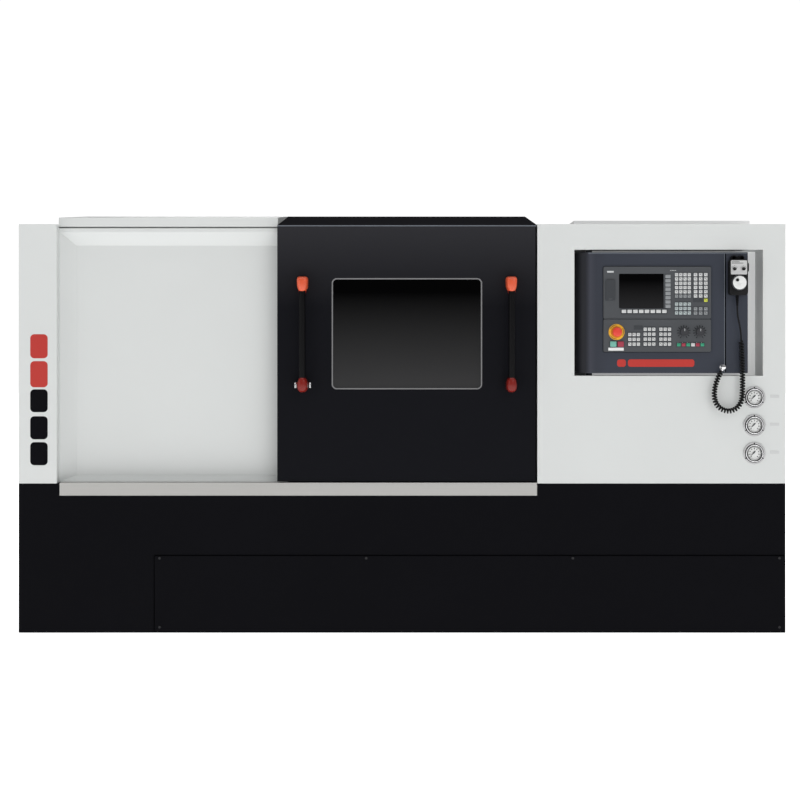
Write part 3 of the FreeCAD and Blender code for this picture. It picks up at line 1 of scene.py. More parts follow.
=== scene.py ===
"""Looks of the slant-bed turning lathe: materials, detailed pieces, light and camera, in metres."""
import math

import bmesh
import bpy
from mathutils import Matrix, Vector


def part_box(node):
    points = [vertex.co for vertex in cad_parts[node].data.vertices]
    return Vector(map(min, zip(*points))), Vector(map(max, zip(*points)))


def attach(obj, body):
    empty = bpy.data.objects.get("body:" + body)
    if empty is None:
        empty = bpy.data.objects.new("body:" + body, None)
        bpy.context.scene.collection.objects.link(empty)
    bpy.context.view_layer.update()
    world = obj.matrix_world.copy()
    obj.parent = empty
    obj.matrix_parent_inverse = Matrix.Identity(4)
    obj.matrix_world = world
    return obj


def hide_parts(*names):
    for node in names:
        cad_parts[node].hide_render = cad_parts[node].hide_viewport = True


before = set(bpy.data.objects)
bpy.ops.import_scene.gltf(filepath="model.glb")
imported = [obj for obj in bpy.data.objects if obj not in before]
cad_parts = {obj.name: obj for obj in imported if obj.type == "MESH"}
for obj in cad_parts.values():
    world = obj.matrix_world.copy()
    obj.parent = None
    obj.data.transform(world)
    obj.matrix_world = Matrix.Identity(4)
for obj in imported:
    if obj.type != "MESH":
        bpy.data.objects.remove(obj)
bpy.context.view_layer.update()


def corners(node_name):
    """The low and high corners of a CAD node's box."""
    return [Vector(corner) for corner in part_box(node_name)]


def centre(node_name):
    low, high = corners(node_name)
    return (low + high) / 2


CABINET_LOW, CABINET_HIGH = corners("lower_cabinet")
FRONT = CABINET_LOW.y
BACK = CABINET_HIGH.y


# ---------------------------------------------------------------- materials
def new_material(name, color, roughness, metallic=0.0, specular=0.5):
    """A principled material with its plain values set on the shader's own sockets."""
    mat = bpy.data.materials.new(name)
    mat.use_nodes = True
    shader = mat.node_tree.nodes["Principled BSDF"]
    shader.inputs["Base Color"].default_value = (*color, 1.0)
    shader.inputs["Roughness"].default_value = roughness
    shader.inputs["Metallic"].default_value = metallic
    shader.inputs["Specular IOR Level"].default_value = specular
    return mat, mat.node_tree, shader


def object_coordinates(tree, scale=(1, 1, 1)):
    coords = tree.nodes.new("ShaderNodeTexCoord")
    mapping = tree.nodes.new("ShaderNodeMapping")
    mapping.inputs["Scale"].default_value = scale
    tree.links.new(coords.outputs["Object"], mapping.inputs["Vector"])
    return mapping.outputs["Vector"]


def noise(tree, vector, scale, detail=3.0, roughness=0.5):
    node = tree.nodes.new("ShaderNodeTexNoise")
    node.inputs["Scale"].default_value = scale
    node.inputs["Detail"].default_value = detail
    node.inputs["Roughness"].default_value = roughness
    tree.links.new(vector, node.inputs["Vector"])
    return node.outputs["Fac"]


def spread(tree, value, low, high):
    """Maps a noise value onto a range."""
    node = tree.nodes.new("ShaderNodeMapRange")
    node.inputs["From Min"].default_value = 0.3
    node.inputs["From Max"].default_value = 0.7
    node.inputs["To Min"].default_value = low
    node.inputs["To Max"].default_value = high
    tree.links.new(value, node.inputs["Value"])
    return node.outputs["Result"]


def vary_color(tree, shader, value, color, amount):
    """Lets a colour drift between a darker and a lighter tone."""
    ramp = tree.nodes.new("ShaderNodeValToRGB")
    ramp.color_ramp.elements[0].position = 0.3
    ramp.color_ramp.elements[1].position = 0.7
    ramp.color_ramp.elements[0].color = (*[c * (1 - amount) for c in color], 1)
    ramp.color_ramp.elements[1].color = (*[min(1.0, c * (1 + amount)) for c in color], 1)
    tree.links.new(value, ramp.inputs["Fac"])
    tree.links.new(ramp.outputs["Color"], shader.inputs["Base Color"])


def bump(tree, shader, height, strength, distance):
    node = tree.nodes.new("ShaderNodeBump")
    node.inputs["Strength"].default_value = strength
    node.inputs["Distance"].default_value = distance
    tree.links.new(height, node.inputs["Height"])
    tree.links.new(node.outputs["Normal"], shader.inputs["Normal"])


def paint(name, color, roughness=0.45, grain=900.0, strength=0.12, drift=0.03, specular=0.4):
    """Powder coat: fine orange peel with slow changes of tone and gloss."""
    mat, tree, shader = new_material(name, color, roughness, specular=specular)
    vector = object_coordinates(tree)
    slow = noise(tree, vector, 2.2, 4.0)
    vary_color(tree, shader, slow, color, drift)
    gloss = spread(tree, noise(tree, vector, 9.0), roughness - 0.05, roughness + 0.07)
    tree.links.new(gloss, shader.inputs["Roughness"])
    bump(tree, shader, noise(tree, vector, grain, 2.0), strength, 0.0004)
    return mat


def moulded(name, color, roughness=0.5, grain=1500.0, strength=0.15, specular=0.45, drift=0.05):
    """Moulded plastic with a fine spark-eroded grain."""
    return paint(name, color, roughness, grain, strength, drift, specular)


def painted_glow_sheet(name, color, glow):
    """Sheet with a painted glow: emission that stands in for light scattered from the enclosure."""
    mat = paint(name, color, 0.5)
    shader = mat.node_tree.nodes["Principled BSDF"]
    shader.inputs["Emission Color"].default_value = (*color, 1.0)
    shader.inputs["Emission Strength"].default_value = glow
    return mat


def brushed(name, color, roughness=0.32, along="X", drift=0.06):
    """Metal with fine scratches that run along one axis."""
    mat, tree, shader = new_material(name, color, roughness, metallic=1.0)
    scale = {"X": (4, 900, 900), "Y": (900, 4, 900), "Z": (900, 900, 4)}[along]
    vector = object_coordinates(tree, scale)
    lines = noise(tree, vector, 1.0, 4.0, 0.65)
    vary_color(tree, shader, lines, color, drift)
    gloss = spread(tree, lines, roughness - 0.07, roughness + 0.1)
    tree.links.new(gloss, shader.inputs["Roughness"])
    bump(tree, shader, lines, 0.1, 0.0002)
    return mat


def polished(name, color, roughness=0.12):
    """Plated metal with faint smears."""
    mat, tree, shader = new_material(name, color, roughness, metallic=1.0)
    vector = object_coordinates(tree)
    smear = noise(tree, vector, 60.0, 4.0, 0.6)
    gloss = spread(tree, smear, roughness * 0.7, roughness * 1.6)
    tree.links.new(gloss, shader.inputs["Roughness"])
    vary_color(tree, shader, smear, color, 0.04)
    return mat


def casting(name, color):
    """Painted iron casting with a sand-cast skin."""
    return paint(name, color, 0.55, grain=220.0, strength=0.45, drift=0.08)


def axis_ramp(tree, axis, low, high, stops):
    """Colour that changes along one axis, from stops of (position, colour)."""
    split = tree.nodes.new("ShaderNodeSeparateXYZ")
    tree.links.new(object_coordinates(tree), split.inputs["Vector"])
    along = tree.nodes.new("ShaderNodeMapRange")
    along.inputs["From Min"].default_value = low
    along.inputs["From Max"].default_value = high
    tree.links.new(split.outputs[axis], along.inputs["Value"])
    ramp = tree.nodes.new("ShaderNodeValToRGB")
    for _ in stops[2:]:
        ramp.color_ramp.elements.new(0.5)
    for element, (position, color) in zip(ramp.color_ramp.elements, stops):
        element.position = position
        element.color = (*color, 1)
    tree.links.new(along.outputs["Result"], ramp.inputs["Fac"])
    return ramp.outputs["Color"]


def graded(mat, axis, low, high, stops):
    """Replaces a material's base colour with one that changes along an axis."""
    tree = mat.node_tree
    color = axis_ramp(tree, axis, low, high, stops)
    tree.links.new(color, tree.nodes["Principled BSDF"].inputs["Base Color"])
    return mat


def glass_with_painted_reflection(name, top_color, bottom_color, low_z, high_z):
    """Dark safety glass with a painted reflection that makes it a little lighter towards its lower edge."""
    mat, tree, shader = new_material(name, top_color, 0.06, specular=0.04)
    graded(mat, "Z", low_z, high_z, [(0.0, bottom_color), (0.85, top_color)])
    film = noise(tree, object_coordinates(tree), 7.0, 4.0)
    tree.links.new(spread(tree, film, 0.05, 0.11), shader.inputs["Roughness"])
    return mat


WHITE = paint("white_powder_coat", (0.655, 0.672, 0.665), 0.42, drift=0.012)
# The electrical cabinet's white sheet has a painted glow.
ROOF_GLOW_WHITE = painted_glow_sheet("roof_white_painted_glow", (0.72, 0.725, 0.725), 0.20)
# The recess liner's sheet has a stronger painted glow.
RECESS_GLOW_WHITE = painted_glow_sheet("recess_white_painted_glow", (0.78, 0.785, 0.785), 0.38)
BLACK = paint("black_cabinet_paint", (0.0042, 0.0042, 0.0056), 0.55, drift=0.04, specular=0.03)
DOOR_LOW, DOOR_HIGH = corners("door_panel")
# The door's black grows lighter over its top 0.32 m: a painted reflection of the light above it.
DOOR_SHEEN_STOPS = [(0.0, (0.0050, 0.0052, 0.0074)), (1.0, (0.0265, 0.0265, 0.0305))]
DOOR_SHEEN_SPAN = 0.32
DOOR_BLACK = graded(
    paint("door_paint", DOOR_SHEEN_STOPS[0][1], 0.5, specular=0.06),
    "Z",
    DOOR_HIGH.z - DOOR_SHEEN_SPAN,
    DOOR_HIGH.z,
    DOOR_SHEEN_STOPS,
)
ROOF_BLACK = paint("roof_black_paint", (0.0150, 0.0150, 0.0175), 0.8, specular=0.0)
SCREW_BLACK = brushed("blackened_steel", (0.035, 0.035, 0.037), 0.45, "Z")
CONSOLE_LOW, CONSOLE_HIGH = corners("console_box")
# The console's blue is painted nearly black at its round left end as painted shade, then a painted highlight
# band, then its own tone.
CONSOLE_SHADE_SPAN = 0.13
CONSOLE_SHADE_STOPS = [
    (0.0, (0.004, 0.004, 0.006)), (0.30, (0.010, 0.011, 0.016)), (0.44, (0.042, 0.045, 0.060)),
    (0.62, (0.030, 0.034, 0.047)), (1.0, (0.0345, 0.0400, 0.0555)),
]
CONSOLE_BLUE = graded(
    paint("console_paint", CONSOLE_SHADE_STOPS[-1][1], 0.42, specular=0.25),
    "X",
    CONSOLE_LOW.x,
    CONSOLE_LOW.x + CONSOLE_SHADE_SPAN,
    CONSOLE_SHADE_STOPS,
)
STEEL_SHEET = brushed("stainless_sheet", (0.44, 0.435, 0.42), 0.36, "X")
CHAMBER_STEEL = brushed("chamber_steel", (0.42, 0.43, 0.44), 0.42, "Z")
MACHINED = brushed("machined_steel", (0.58, 0.59, 0.60), 0.28, "X")
IRON = casting("machine_grey_casting", (0.23, 0.26, 0.27))
MOTOR_GREY = casting("motor_paint", (0.06, 0.065, 0.07))
ZINC = brushed("zinc_plate", (0.6, 0.6, 0.57), 0.38, "Z")
CHROME = polished("chrome_plate", (0.80, 0.80, 0.81), 0.10)
RUBBER = moulded("black_rubber", (0.0016, 0.0016, 0.0018), 0.36, 600.0, 0.1, specular=0.22)
SEAL_GREY = moulded("window_seal_rubber", (0.19, 0.19, 0.195), 0.5, specular=0.25)
GRIP_BLACK = moulded("grip_plastic", (0.0018, 0.0018, 0.0024), 0.40, specular=0.12)
# The cap plastic, lighter for the top caps: painted light from above.
CAP_LIT_ORANGE = moulded("orange_red_plastic", (0.70, 0.10, 0.038), 0.30, 700.0, 0.05)
FASCIA = moulded("fascia_plastic", (0.066, 0.071, 0.078), 0.5, specular=0.3)
FASCIA_DARK = moulded("fascia_dark_plastic", (0.040, 0.044, 0.050), 0.5, specular=0.3)
KEY_LIGHT = moulded("key_light_grey", (0.60, 0.61, 0.61), 0.5)
KEY_MID = moulded("key_mid_grey", (0.26, 0.275, 0.285), 0.5)
KEY_CYAN = moulded("key_blue_grey", (0.42, 0.48, 0.485), 0.5)
KEY_YELLOW = moulded("key_yellow_green", (0.55, 0.60, 0.06), 0.5)
KEY_GREEN = moulded("key_green", (0.03, 0.30, 0.17), 0.45)
START_GREEN = moulded("start_green", (0.16, 0.44, 0.36), 0.45)
STOP_PINK = moulded("stop_raspberry", (0.34, 0.035, 0.065), 0.45)
KEY_RED = moulded("key_red", (0.34, 0.03, 0.06), 0.45)
INK = moulded("legend_ink", (0.02, 0.022, 0.025), 0.6)
# Black for print and seams, and for painted shadow in the gaps round the units and along the door's right
# edge.
PRINT_AND_SHADOW_BLACK = moulded("print_seam_and_painted_shadow_black", (0.0010, 0.0010, 0.0012), 0.8, specular=0.0)
# Grey strips for painted highlights along edges that catch the light.
EDGE_HIGHLIGHT = moulded("painted_edge_highlight_grey", (0.16, 0.18, 0.21), 0.4)
INK_LIGHT = moulded("light_legend_ink", (0.55, 0.57, 0.58), 0.6)
INK_RED = moulded("red_stripe_paint", (0.47, 0.024, 0.016), 0.5)
# A darker copy of the cap plastic: painted shade on the bottom caps and the top caps' lips.
CAP_SHADED_RED = moulded("cap_plastic_painted_shade", (0.20, 0.012, 0.008), 0.25, 700.0, 0.05, specular=0.3)
SIGNAL_RED = moulded("stop_red", (0.72, 0.05, 0.03), 0.35, 700.0, 0.05)
STOP_ORANGE = moulded("stop_amber", (0.62, 0.20, 0.012), 0.4)
SIGNAL_YELLOW = moulded("stop_yellow", (0.80, 0.42, 0.015), 0.4)
KNOB_GREY = moulded("knob_grey", (0.034, 0.035, 0.040), 0.42, specular=0.3)
PENDANT_BLACK = moulded("pendant_plastic", (0.005, 0.005, 0.0055), 0.5, specular=0.18)
PLATE_SILVER = brushed("faceplate_silver", (0.68, 0.68, 0.68), 0.4, "X")
FLANGE_METAL = brushed("gauge_flange_metal", (0.52, 0.52, 0.525), 0.30, "X", 0.2)
PLATE_GREY = brushed("label_plate_grey", (0.62, 0.63, 0.63), 0.5, "X")
DIAL_WHITE = moulded("dial_white", (0.78, 0.79, 0.78), 0.5)
# Screen and window glass carry a painted reflection, lighter towards their lower edges.
SCREEN_Z = (1.27, 1.40)
SCREEN = glass_with_painted_reflection("screen_glass", (0.0012, 0.0012, 0.0014), (0.020, 0.020, 0.021), *SCREEN_Z)
PANE_Z = [corner.z for corner in corners("window_pane")]
WINDOW_GLASS = glass_with_painted_reflection("window_glass", (0.0006, 0.0006, 0.0007), (0.042, 0.042, 0.043), *PANE_Z)

NODE_MATERIALS = {
    WHITE: ["end_covers", "left_front_cover", "right_front_cover", "rear_cover", "door_track"],
    ROOF_GLOW_WHITE: ["electrical_cabinet"],
    BLACK: ["lower_cabinet", "front_access_panel"],
    ROOF_BLACK: ["chamber_roof"],
    DOOR_BLACK: ["door_panel"],
    CONSOLE_BLUE: ["console_box"],
    STEEL_SHEET: ["door_sill"],
    CHAMBER_STEEL: ["splash_guard"],
    MACHINED: [
        "spindle", "chuck_body", "jaw_1", "jaw_2", "jaw_3", "motor_pulley", "z_screw", "turret_disc", "quill"
    ],
    IRON: ["slant_bed", "headstock", "saddle", "cross_slide", "tailstock"],
    MOTOR_GREY: ["drive_motors"],
    ZINC: ["leveling_feet"],
    SCREW_BLACK: ["panel_screws"],
    RUBBER: ["drive_belt"],
    SEAL_GREY: ["window_seal"],
    WINDOW_GLASS: ["window_pane"],
    GRIP_BLACK: ["handle_bars"],
    FASCIA: ["usb_flap"],
    INK: ["gauge_needle_1", "gauge_needle_2", "gauge_needle_3"],
    SIGNAL_RED: ["main_switch"],
}


def dress(node_name, material):
    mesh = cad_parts[node_name].data
    mesh.materials.clear()
    mesh.materials.append(material)


for look, node_names in NODE_MATERIALS.items():
    for node_name in node_names:
        dress(node_name, look)


# ---------------------------------------------------------------- mesh helpers
def place(u, v, depth, axis):
    """A point of an outline at a depth along the axis that the outline faces."""
    return {"X": (depth, u, v), "Y": (u, depth, v), "Z": (u, v, depth)}[axis]


def add_loft(bm, loops, axis="Y"):
    """Skins closed outlines of as many points each, given as (outline, depth), and caps both ends."""
    rings = [[bm.verts.new(place(u, v, depth, axis)) for u, v in outline] for outline, depth in loops]
    count = len(rings[0])
    bm.faces.new(rings[0])
    bm.faces.new(list(reversed(rings[-1])))
    for near, far in zip(rings, rings[1:]):
        for i in range(count):
            j = (i + 1) % count
            bm.faces.new((near[j], near[i], far[i], far[j]))


def add_prism(bm, outline, start, end, axis="Y"):
    add_loft(bm, [(outline, start), (outline, end)], axis)


def add_box(bm, low, high):
    outline = [(low[0], low[2]), (high[0], low[2]), (high[0], high[2]), (low[0], high[2])]
    add_prism(bm, outline, low[1], high[1])


def add_ring(bm, outer, inner, start, end, axis="Y"):
    """A frame between two outlines with as many points each."""
    loops = []
    for depth in (start, end):
        for points in (outer, inner):
            loops.append([bm.verts.new(place(u, v, depth, axis)) for u, v in points])
    near_out, near_in, far_out, far_in = loops
    count = len(outer)
    for i in range(count):
        j = (i + 1) % count
        bm.faces.new((near_out[i], near_out[j], near_in[j], near_in[i]))
        bm.faces.new((far_out[j], far_out[i], far_in[i], far_in[j]))
        bm.faces.new((near_out[j], near_out[i], far_out[i], far_out[j]))
        bm.faces.new((near_in[i], near_in[j], far_in[j], far_in[i]))


def rounded(cx, cz, width, height, radius, steps=5):
    """Outline of a rectangle with round corners."""
    points = []
    for sx, sz, start in ((1, -1, -90), (1, 1, 0), (-1, 1, 90), (-1, -1, 180)):
        ox = cx + sx * (width / 2 - radius)
        oz = cz + sz * (height / 2 - radius)
        for i in range(steps + 1):
            angle = math.radians(start + 90 * i / steps)
            points.append((ox + radius * math.cos(angle), oz + radius * math.sin(angle)))
    return points


def circle(cx, cz, radius, steps=32):
    turn = 2 * math.pi / steps
    return [(cx + radius * math.cos(i * turn), cz + radius * math.sin(i * turn)) for i in range(steps)]


def add_turned(bm, centre, profile, steps=48, wave=None):
    """Revolves a profile of radius and forward reach about the Y axis through a centre point.

    A wave of (count, depth, first, last) flutes the rings from first to last.
    """
    rings = []
    for k, (radius, reach) in enumerate(profile):
        if radius < 1e-7:
            rings.append([bm.verts.new((centre[0], centre[1] - reach, centre[2]))])
            continue
        ring = []
        for i in range(steps):
            angle = 2 * math.pi * i / steps
            r = radius
            if wave and wave[2] <= k <= wave[3]:
                r += wave[1] * math.cos(wave[0] * angle)
            x = centre[0] + r * math.cos(angle)
            z = centre[2] + r * math.sin(angle)
            ring.append(bm.verts.new((x, centre[1] - reach, z)))
        rings.append(ring)
    for a, b in zip(rings, rings[1:]):
        if len(a) == 1 and len(b) == 1:
            continue
        for i in range(steps):
            j = (i + 1) % steps
            if len(a) == 1:
                bm.faces.new((a[0], b[j], b[i]))
            elif len(b) == 1:
                bm.faces.new((a[i], a[j], b[0]))
            else:
                bm.faces.new((a[i], a[j], b[j], b[i]))
    for ring, flip in ((rings[0], True), (rings[-1], False)):
        if len(ring) > 1:
            bm.faces.new(ring if flip else list(reversed(ring)))


def finish_piece(name, bm, material, body, bevel=0.0, segments=2, smooth=35.0):
    """Turns a bmesh into a piece of the object that rides on a body."""
    bmesh.ops.recalc_face_normals(bm, faces=bm.faces)
    mesh = bpy.data.meshes.new(name)
    bm.to_mesh(mesh)
    bm.free()
    piece = bpy.data.objects.new(name, mesh)
    bpy.context.collection.objects.link(piece)
    mesh.materials.append(material)
    if bevel:
        modifier = piece.modifiers.new("edge", "BEVEL")
        modifier.width = bevel
        modifier.segments = segments
        modifier.limit_method = "ANGLE"
        modifier.angle_limit = math.radians(40)
    for polygon in mesh.polygons:
        polygon.use_smooth = True
    mesh.set_sharp_from_angle(angle=math.radians(smooth))
    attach(piece, body)
    return piece


def plates(name, outlines, start, end, material, body, bevel=0.0):
    """Several prisms of one depth as one piece."""
    bm = bmesh.new()
    for outline in outlines:
        add_prism(bm, outline, start, end)
    return finish_piece(name, bm, material, body, bevel)


PLATE_ROOT = 0.001


def inlays(name, outlines, face, proud, material, body, bevel=0.0):
    """Thin plates let 1 mm into a face and standing a little proud of it."""
    return plates(name, outlines, face - proud, face + PLATE_ROOT, material, body, bevel)


def turned(name, centre, profile, material, body, steps=48, wave=None):
    bm = bmesh.new()
    add_turned(bm, centre, profile, steps, wave)
    return finish_piece(name, bm, material, body)


# ---------------------------------------------------------------- curly cord
CORD_Y = centre("cord_coil").y
WIRE = 0.0064
COIL_RADIUS = 0.008
COIL_TURNS = 46
STEPS_PER_TURN = 14
LEAD_ROUTE = [(1.3015, 1.279), (1.3015, 1.246), (1.309, 1.213), (1.315, 1.180), (1.317, 1.147)]
COIL_ROUTE = [
    (1.317, 1.147), (1.319, 1.096), (1.321, 1.044), (1.322, 0.992), (1.3215, 0.944), (1.319, 0.908),
    (1.2995, 0.88), (1.267, 0.869), (1.2345, 0.88), (1.214, 0.908), (1.212, 0.952), (1.223, 0.994),
    (1.24, 1.028),
]


def spline_curve(name, points, radius):
    """One open NURBS curve through control points, as thick as its radius says."""
    data = bpy.data.curves.new(name, "CURVE")
    data.dimensions = "3D"
    data.resolution_u = 3 if radius else 24
    data.bevel_depth = radius
    data.bevel_resolution = 3
    data.use_fill_caps = radius > 0
    spline = data.splines.new("NURBS")
    spline.points.add(len(points) - 1)
    for point, spot in zip(spline.points, points):
        point.co = (*spot, 1.0)
    spline.order_u = 3
    spline.use_endpoint_u = True
    piece = bpy.data.objects.new(name, data)
    bpy.context.collection.objects.link(piece)
    return piece


def route_line(points):
    """Points along the smooth line of a route."""
    guide = spline_curve("route_guide", points, 0.0)
    bpy.context.view_layer.update()
    mesh = bpy.data.meshes.new_from_object(guide)
    line = [v.co.copy() for v in mesh.vertices]
    bpy.data.meshes.remove(mesh)
    bpy.data.objects.remove(guide)
    return line


def walk(line, count):
    """Evenly spaced places along a line, each with its direction."""
    lengths = [0.0]
    for a, b in zip(line, line[1:]):
        lengths.append(lengths[-1] + (b - a).length)
    spots = []
    k = 0
    for i in range(count + 1):
        s = lengths[-1] * i / count
        while k < len(line) - 2 and lengths[k + 1] < s:
            k += 1
        t = (s - lengths[k]) / max(1e-9, lengths[k + 1] - lengths[k])
        spots.append((line[k].lerp(line[k + 1], t), (line[k + 1] - line[k]).normalized()))
    return spots


def curly_cord():
    """Lead, then a helix of even turns wound about its route, narrowing to it at both ends."""
    line = route_line([(x, CORD_Y, z) for x, z in COIL_ROUTE])
    count = COIL_TURNS * STEPS_PER_TURN
    points = [Vector((x, CORD_Y, z)) for x, z in LEAD_ROUTE[:-1]]
    side = Vector((0, 1, 0))
    for i, (spot, ahead) in enumerate(walk(line, count)):
        across = side.cross(ahead)
        ease = min(1.0, i / STEPS_PER_TURN, (count - i) / STEPS_PER_TURN)
        angle = 2 * math.pi * i / STEPS_PER_TURN
        radius = COIL_RADIUS * ease
        points.append(spot + radius * (math.cos(angle) * across + math.sin(angle) * side))
    cord = spline_curve("curly_cord", points, WIRE / 2)
    cord.data.materials.append(RUBBER)
    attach(cord, "console")
    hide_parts("cord_lead", "cord_coil")


curly_cord()


# ---------------------------------------------------------------- places that the pieces share
CONSOLE_FACE = CONSOLE_LOW.y
PIN_REACH = 0.018
PIN_RADIUS = 0.012
SHELL_BOTTOM = CONSOLE_LOW.z + PIN_REACH
SHELL_TOP = CONSOLE_HIGH.z - PIN_REACH
CNC_LOW, CNC_HIGH = corners("cnc_panel")
PANEL_LOW, PANEL_HIGH = corners("machine_panel")
UNIT_FACE = PANEL_LOW.y
UNIT_LEFT = CNC_LOW.x
CNC_TOP = CNC_HIGH.z
PANEL_TOP = PANEL_HIGH.z


def block(left, drop, width, height, top):
    """The x0, x1, z0 and z1 of a rectangle given in metres from a unit's top left corner."""
    return UNIT_LEFT + left, UNIT_LEFT + left + width, top - drop - height, top - drop


def rectangle(x0, x1, z0, z1, radius, steps=3):
    return rounded((x0 + x1) / 2, (z0 + z1) / 2, x1 - x0, z1 - z0, radius, steps)


# ---------------------------------------------------------------- console box
CONSOLE_SEAM_X = 1.258
SEAM_WIDTH = 0.0045
UNIT_GAP = 0.0016
END_STEPS = 24


def console_plan():
    """The console seen from above: round at its left end, square at its right."""
    half = (CONSOLE_HIGH.y - CONSOLE_LOW.y) / 2
    cx = CONSOLE_LOW.x + half
    cy = CONSOLE_LOW.y + half
    points = [(CONSOLE_HIGH.x, CONSOLE_LOW.y), (CONSOLE_HIGH.x, CONSOLE_HIGH.y)]
    for i in range(END_STEPS + 1):
        angle = math.pi / 2 + math.pi * i / END_STEPS
        points.append((cx + half * math.cos(angle), cy + half * math.sin(angle)))
    return points


def console():
    z0, z1 = SHELL_BOTTOM, SHELL_TOP
    bm = bmesh.new()
    add_prism(bm, console_plan(), z0, z1, "Z")
    half = (CONSOLE_HIGH.y - CONSOLE_LOW.y) / 2
    pin = circle(CONSOLE_LOW.x + half, CONSOLE_LOW.y + half, PIN_RADIUS)
    add_prism(bm, pin, CONSOLE_LOW.z, z0 + 0.002, "Z")
    add_prism(bm, pin, z1 - 0.002, CONSOLE_HIGH.z, "Z")
    body = finish_piece("console_shell", bm, CONSOLE_BLUE, "console", 0.003, 3)
    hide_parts("console_box")
    seam = rectangle(CONSOLE_SEAM_X, CONSOLE_SEAM_X + SEAM_WIDTH, z0 + 0.003, z1 - 0.003, SEAM_WIDTH * 0.4)
    inlays("console_seam", [seam], CONSOLE_FACE, 0.0003, PRINT_AND_SHADOW_BLACK, "console")
    # The grey strip beside the seam is a painted highlight.
    seam_highlight = rectangle(CONSOLE_SEAM_X - 0.0022, CONSOLE_SEAM_X - 0.0004, z0 + 0.003, z1 - 0.003, 0.0006)
    inlays("console_seam_highlight", [seam_highlight], CONSOLE_FACE, 0.0004, EDGE_HIGHLIGHT, "console")
    # Black rings round the units: painted shadow in the gaps round them.
    gaps = bmesh.new()
    for low, high in ((CNC_LOW, CNC_HIGH), (PANEL_LOW, PANEL_HIGH)):
        grown = rectangle(low.x - UNIT_GAP, high.x + UNIT_GAP, low.z - UNIT_GAP, high.z + UNIT_GAP, 0.007, 4)
        field = rectangle(low.x + 0.001, high.x - 0.001, low.z + 0.001, high.z - 0.001, 0.005, 4)
        add_ring(gaps, grown, field, CONSOLE_FACE - 0.0004, CONSOLE_FACE + 0.001)
    finish_piece("unit_shadow_gaps", gaps, PRINT_AND_SHADOW_BLACK, "console")
    # Grey strip under the console's top edge: a painted highlight.
    rim = rectangle(CONSOLE_LOW.x + 0.05, CONSOLE_HIGH.x - 0.004, z1 - 0.0052, z1 - 0.003, 0.001)
    inlays("console_edge_highlight", [rim], CONSOLE_FACE, 0.0004, EDGE_HIGHLIGHT, "console")
    back = rectangle(CONSOLE_LOW.x + 0.09, CONSOLE_HIGH.x - 0.03, z0 + 0.03, z1 - 0.03, 0.012)
    y = CONSOLE_HIGH.y
    plates("console_back_cover", [back], y - 0.001, y + 0.0015, CONSOLE_BLUE, "console", 0.0008)
    screws = bmesh.new()
    for x in (CONSOLE_LOW.x + 0.10, CONSOLE_HIGH.x - 0.04):
        for z in (z0 + 0.04, (z0 + z1) / 2, z1 - 0.04):
            add_turned(
                screws, (x, y, z), [(0.004, 0.001), (0.004, -0.0025), (0.003, -0.0032), (0, -0.0032)], 16
            )
    finish_piece("console_back_screws", screws, ZINC, "console")
    slots = [rectangle(1.00 + 0.014 * i, 1.006 + 0.014 * i, z0 + 0.06, z0 + 0.16, 0.0029) for i in range(12)]
    plates("console_vent_slots", slots, y + 0.0005, y + 0.0017, INK, "console")


RECESS_BACK = FRONT + 0.135
RECESS_RIGHT = 1.408
RECESS_END_GAP = 0.010
FACE_BARS = ((0.838, 0.872), (0.880, 1.139))
FACE_BAR_Z = (1.043, 1.072)
COLUMN_BARS = (
    (1.076, 1.170, "red"), (0.963, 1.065, "red"), (0.866, 0.955, "black"), (0.760, 0.850, "black"),
    (0.659, 0.749, "black"),
)
COLUMN_BAR_X = (-1.450, -1.382)


def plain_bars():
    """Plain printed bars under the units and down the left column."""
    outlines = [rectangle(x0, x1, *FACE_BAR_Z, 0.010, 6) for x0, x1 in FACE_BARS]
    plates("console_bars", outlines, CONSOLE_FACE - 0.0004, CONSOLE_FACE + 0.0008, INK_RED, "console")
    for ink, material in (("red", INK_RED), ("black", BLACK)):
        outlines = [rectangle(*COLUMN_BAR_X, z0, z1, 0.016, 6) for z0, z1, name in COLUMN_BARS if name == ink]
        inlays(ink + "_column_bars", outlines, FRONT, 0.0004, material, "machine")


def recess_glow_liner():
    """Sheet with a painted glow on the back of the console's recess, seen past the console's right end."""
    z0, z1 = SHELL_BOTTOM - RECESS_END_GAP, SHELL_TOP + RECESS_END_GAP
    wall = rectangle(CONSOLE_LOW.x + 0.06, RECESS_RIGHT - 0.0005, z0 + 0.0005, z1 - 0.0005, 0.0004, 1)
    plates("recess_back_glow_sheet", [wall], RECESS_BACK - 0.0012, RECESS_BACK + 0.0005, RECESS_GLOW_WHITE, "machine")


# ---------------------------------------------------------------- keys
CNC_MATS = {
    "soft_side": (0.240, 0.030, 0.022, 0.132),
    "soft_row": (0.068, 0.163, 0.180, 0.022),
    "letters": (0.276, 0.023, 0.066, 0.100),
    "digits": (0.348, 0.023, 0.060, 0.116),
    "cursor": (0.276, 0.137, 0.066, 0.052),
    "edit": (0.348, 0.156, 0.060, 0.033),
}
MACHINE_MATS = {
    "modes": (0.094, 0.050, 0.050, 0.056),
    "axes": (0.154, 0.029, 0.050, 0.077),
    "jog": (0.215, 0.029, 0.050, 0.077),
    "cycle": (0.284, 0.090, 0.110, 0.018),
}
KEY_SIZE = 0.0128
WIDE_KEY = KEY_SIZE + 0.001
KEY_BASE = 0.0004
KEY_RISE = 0.0022
MAT_RISE = 0.0012


